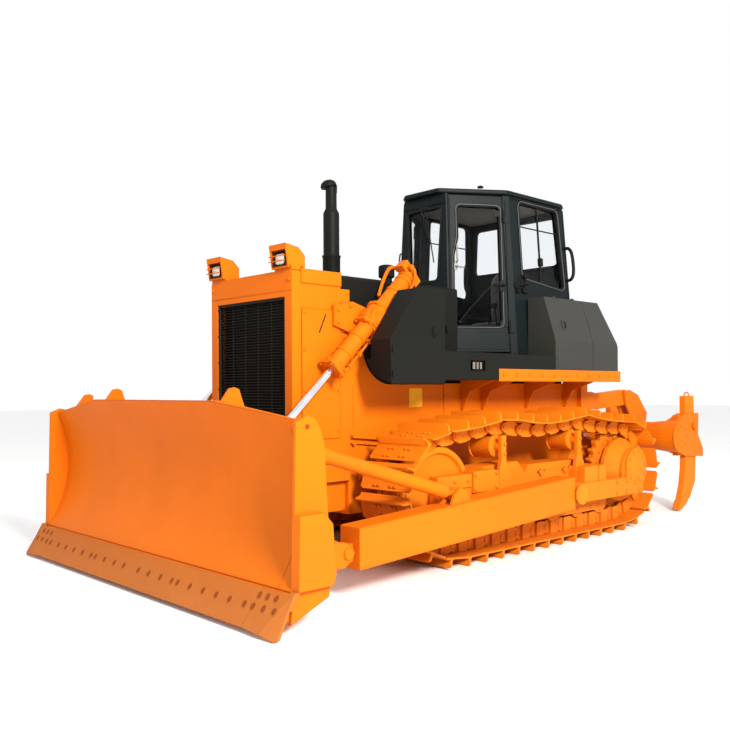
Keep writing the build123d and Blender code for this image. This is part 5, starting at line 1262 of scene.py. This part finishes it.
def handleShapes():
    grip = ((96, 880, 2), (96, 884, 36), (92, 912, 46), (90, 1010, 46), (92, 1040, 36), (96, 1044, 2))
    lever = ((87, 838, 12), (92, 834, 34), (126, 826, 40), (168, 822, 38))
    return [rail("door", grip, 9, 12, xAxis, 5), pad("door", (70, 104, 800, 870), 10, 0, 14),
            rail("door", lever, 8, 10, zAxis, 5)]


def stayShapes():
    return [rail("door", ((112, 300, 14), (150, 352, 30), (420, 640, 34), (560, 668, 30)), 8, 10, zAxis, 5),
            knob("door", ((0, 16), (34, 16), (38, 10)), (112, 300), 14)]


# The outer latch at the door's rear edge: a case, a bar handle and its two posts
def doorLatchShapes():
    return [pad("door", (524, 584, 604, 712), 12, 0, 16),
            rail("door", ((450, 664, 40), (580, 664, 40)), 10, 10, zAxis),
            *(knob("door", ((0, 15), (40, 15), (46, 10)), (along, 664), 12) for along in (470, 556))]


windowSeals = sealShapes("front") + pair(*sealShapes("side")) + sealShapes("rear")
makePiece("window_seals", "chassis", "rubber", windowSeals)
doorPieces = (("seal", "rubber", sealShapes("door"), 0), ("panels", "cab", doorShapes(), 0),
              ("handle", "trim", handleShapes(), 1), ("bead", "trim", [beadShape("door")], 0),
              ("latch", "black", doorLatchShapes(), 1), ("stay", "black", stayShapes(), 0))
for part, key, shapes, bevel in doorPieces:
    makePiece(f"door_{part}_left", "door_left", key, shapes, bevel)
    makePiece(f"door_{part}_right", "door_right", key, [mirrored(shape) for shape in shapes], bevel)
makePiece("window_beads", "chassis", "trim", pair(beadShape("side")))

# Side wall: grab loop at the rear corner, window rails and latch, a cluster of door fittings, upper bands
grabLoop = ((905, 790, 0), (907, 798, 52), (909, 850, 84), (905, 960, 92), (897, 1070, 84), (895, 1122, 52),
            (893, 1130, 0))
latchArm = ((30, 668, 14), (60, 676, 40), (140, 690, 44), (190, 684, 30))
sideFittings = [rail("side", grabLoop, 17, 12, yAxis, 6),
                rail("side", ((470, 724, -18), (462, 1500, -18)), 11, 8, yAxis),
                rail("side", ((140, 1270, -14), (808, 1270, -14)), 7, 8, zAxis),
                pad("side", (440, 492, 900, 984), 12, -24, 8),
                pad("side", (-6, 70, 640, 700), 14, 0, 18),
                rail("side", latchArm, 10, 10, zAxis, 5),
                knob("side", ((0, 22), (24, 22), (28, 16)), (44, 612), 16),
                pad("side", (110, 196, 600, 650), 12, 0, 26),
                rail("side", ((150, 600, 20), (150, 760, 34)), 9, 10, yAxis),
                knob("side", ((0, 26), (16, 26), (30, 14)), (150, 764, 22), 14),
                onPlane(walls["side"], ((20, 1528), (860, 1528), (858, 1540), (20, 1540)), -1, 12)]
frontBand = onPlane(walls["front"], rectangle(80, 620, 1452, 1464), -1, 10)
makePiece("cab_fittings", "chassis", "black", pair(*sideFittings) + [frontBand], 1)


# A bead along a corner post, just short of both its ends
def cornerBead(k, radius):
    low, high = (np.array((*cab[end][k], cab[end + "Z"])) for end in ("low", "high"))
    return tube([low + (high - low) * 0.01, low + (high - low) * 0.985], radius, 8, yAxis)


makePiece("cab_corner_beads", "chassis", "cab", pair(cornerBead(0, 5), cornerBead(2, 8)))
cabBolts = pair(*wallBolts("side", (60, 420, 800), 1534, 11, 7, 6),
                *wallBolts("side", (60, 340, 620, 900), 60, 0, 9, 7))
cabBolts += wallBolts("front", (60, 250, 450, 640), 80, 0, 9, 7)
makePiece("cab_bolts", "chassis", "cab", cabBolts)

# Wiper on the front window: two arms, the blade and the motor's housing
wiper = [rail("front", ((330, 1438, 10), (338, 1400, 24), (392, 1240, 22), (440, 1110, 18)), 6, 8, xAxis, 5),
         rail("front", ((372, 1438, 10), (378, 1400, 24), (424, 1240, 22), (452, 1120, 18)), 5, 8, xAxis, 5),
         rail("front", ((400, 1330, 10), (500, 890, 10)), 6, 6, xAxis),
         onPlane(walls["front"], rectangle(300, 404, 1422, 1452), 0, 20)]
makePiece("front_wiper", "chassis", "rubber", wiper)

# Roof: the rounded outline of its reach at steps of (scale about the middle, height over low or top)
roof = {"reach": ((228.0, -417.0), (635.0, 157.0), (635.0, 1116.0)), "corner": 55, "middle": (0.0, 450.0),
        "low": 3334.0, "top": 3388.0, "eaves": ((1.0, 0), (1.004, 14), (1.0, 34), (0.985, 44), (0.96, 48)),
        "crown": ((0.86, -4), (0.7, 2), (0.5, 6), (0.25, 9), (0.08, 9)), "gutter": (1.004, 6, 7),
        "lamps": (470, -60), "lining": (0.9, 3306.0, 3333.0)}
roofLeft = np.array(roof["reach"])
roofOutline = roundedOutline(np.concatenate([roofLeft, (roofLeft * (-1, 1))[::-1]]), roof["corner"], 7)


def roofRing(scale, z):
    middle = np.array(roof["middle"])
    return np.column_stack([middle + (roofOutline - middle) * scale, np.full(len(roofOutline), z)])


roofRows = [roofRing(scale, roof["low"] + rise) for scale, rise in roof["eaves"]]
roofRows += [roofRing(scale, roof["top"] + rise) for scale, rise in roof["crown"]]
makePiece("roof_shell", "chassis", "cab", [skin(np.stack(roofRows))], 0, ("cab_roof",))
gutterScale, gutterRise, gutterRadius = roof["gutter"]
roofTrim = [tube(roofRing(gutterScale, roof["low"] + gutterRise), gutterRadius, 6, zAxis)]
lampX, lampY = roof["lamps"]
roofTrim += [lathe(((0, 30), (12, 30), (18, 22), (22, 12)), (x, lampY, roof["top"] + 2), zAxis, 20)
             for x in (lampX, -lampX)]
makePiece("roof_trim", "chassis", "cab", roofTrim)
print("stage: cab outside")


# Inside the cab: each cushion has its middle and its half sizes.
seat = {"pads": (((0, 780, 2085), (245, 262, 62)), ((0, 985, 2420), (235, 68, 290)),
                 ((0, 1000, 2718), (130, 46, 60))),
        "armrest": ((290, 800, 2230), (32, 190, 24)),
        "levers": ((330, 380, -30), (-330, 400, 20), (250, 340, 10))}


# A cushion is a superellipsoid: |x|^n + |y|^n + |z|^n = 1 in its half sizes, as rings from below to above.
def cushion(middle, halves, steps=48, layers=14, exponent=4.5):
    around = evenAngles(steps)
    rise = np.linspace(-0.497, 0.497, layers) * np.pi
    waves = np.cos(around), np.sin(around), np.cos(rise), np.sin(rise)
    ringX, ringY, scale, height = (np.sign(wave) * np.abs(wave) ** (2 / exponent) for wave in waves)
    rows = np.stack([ringX * scale[:, None], ringY * scale[:, None], np.repeat(height[:, None], steps, 1)],
                    axis=-1)
    return skin(rows * np.array(halves) + np.array(middle))


cushions = [cushion(middle, halves) for middle, halves in seat["pads"]]
seatSkin = makePiece("seat_cushions", "chassis", "fabric", cushions, 0, ("seat",))
(armX, armY, armZ), armHalves = seat["armrest"]
seatShapes = [block((-215, 215), (600, 990), (1785, 1840)), block((-170, 170), (640, 960), (1838, 1990)),
              block((-220, 220), (570, 1010), (1985, 2030)),
              slab(((1020, 2000), (1050, 2000), (1060, 2700), (1042, 2700)), -150, 150)]
seatShapes += [cushion((side * armX, armY, armZ), armHalves) for side in (-1, 1)]
seatShapes += [block((side * armX - 14, side * armX + 14), (900, 950), (2020, 2215)) for side in (-1, 1)]
makePiece("seat_base", "chassis", "rubber", seatShapes, 3)
controls = []
for x, y, lean in seat["levers"]:
    handle = ((x, y, 1785), (x + lean * 0.3, y - 6, 2000), (x + lean, y - 20, 2260))
    controls.append(tube(curve(handle, 6), 9, 10, yAxis))
    knobRows = ((0, 12), (10, 24), (34, 30), (56, 22), (64, 8))
    controls.append(lathe(knobRows, (x + lean, y - 20, 2250), zAxis, 16))
panel = ((-330, 1786), (-300, 2290), (-150, 2330), (-90, 2290), (-60, 1990), (-70, 1786))
controls.append(slab(panel, -140, 140))
pedal = ((-20, 1790), (30, 1920), (60, 1910), (10, 1786))
controls += [slab(pedal, side * 120 - 40, side * 120 + 40) for side in (-1, 1)]
makePiece("cab_controls", "chassis", "rubber", controls, 3, ("console",))
liningScale, liningLow, liningHigh = roof["lining"]
liningRows = np.stack([roofRing(liningScale, liningLow), roofRing(liningScale, liningHigh)])
makePiece("roof_lining", "chassis", "lining", [skin(liningRows)])
print("stage: cab inside")


# Floor and lights, in metres; each light has its place, size, energy and colour.
studioSet = {"floorReach": 60.0, "floorShade": 0.9, "aim": (0.0, 0.0, 1.2),
             "lights": (("keyLight", (10.5, -4.6, 6.0), 2.2, 2250.0, (1.0, 0.96, 0.88)),
                        ("fillLight", (-4.0, -10.0, 5.0), 8.0, 60.0, (1.0, 1.0, 1.0)))}


def studio():
    floorMesh = bpy.data.meshes.new("floor")
    reach, shade = studioSet["floorReach"], studioSet["floorShade"]
    corners = ((-reach, -reach, 0), (reach, -reach, 0), (reach, reach, 0), (-reach, reach, 0))
    floorMesh.from_pydata(corners, [], [(0, 1, 2, 3)])
    floor = bpy.data.objects.new("floor", floorMesh)
    bpy.context.collection.objects.link(floor)
    material = newMaterial("pale_floor")[0]
    shader = material.node_tree.nodes["Principled BSDF"]
    shader.inputs["Base Color"].default_value = (shade, shade, shade, 1.0)
    shader.inputs["Roughness"].default_value = 0.8
    shader.inputs["Specular IOR Level"].default_value = 0.1
    floorMesh.materials.append(material)
    world = bpy.context.scene.world or bpy.data.worlds.new("world")
    bpy.context.scene.world = world
    world.use_nodes = True
    worldNodes = world.node_tree.nodes
    background = worldNodes.get("Background") or worldNodes.new("ShaderNodeBackground")
    background.inputs["Color"].default_value = (1.0, 1.0, 1.0, 1.0)
    background.inputs["Strength"].default_value = 1.0
    for name, place, size, energy, tint in studioSet["lights"]:
        light = bpy.data.lights.new(name, "AREA")
        light.size = size
        light.energy = energy
        light.color = tint
        lamp = bpy.data.objects.new(name, light)
        lamp.location = place
        lamp.rotation_euler = (Vector(studioSet["aim"]) - Vector(place)).to_track_quat("-Z", "Y").to_euler()
        bpy.context.collection.objects.link(lamp)


# The camera solved from the photograph: place in metres, angles in degrees, focal length and centre in pixels
view = {"place": (5.7122, -6.2095, 1.4333), "angles": (45.57, 0.04, -0.31), "focal": 834.375,
        "centre": (401.03, 389.21), "width": 730.0, "sensor": 36.0}


def photoCamera():
    place = Vector(view["place"])
    yaw, pitch, roll = (math.radians(angle) for angle in view["angles"])
    (centreX, centreY), width = view["centre"], view["width"]
    forward = Vector((-math.sin(yaw) * math.cos(pitch), math.cos(yaw) * math.cos(pitch), math.sin(pitch)))
    right = Vector((math.cos(yaw), math.sin(yaw), 0.0))
    up = right.cross(forward)
    rolledRight = right * math.cos(roll) + up * math.sin(roll)
    rolledUp = up * math.cos(roll) - right * math.sin(roll)
    data = bpy.data.cameras.new("camera")
    data.sensor_width = view["sensor"]
    data.lens = view["focal"] / width * view["sensor"]
    data.shift_x = (width / 2 - centreX) / width
    data.shift_y = (centreY - width / 2) / width
    data.clip_end = 200.0
    camera = bpy.data.objects.new("camera", data)
    rotation = Matrix((rolledRight, rolledUp, -forward)).transposed().to_4x4()
    camera.matrix_world = Matrix.Translation(place) @ rotation
    bpy.context.collection.objects.link(camera)
    bpy.context.scene.camera = camera


studio()
photoCamera()
bpy.context.scene.view_settings.view_transform = "Standard"
print("stage: studio ready")
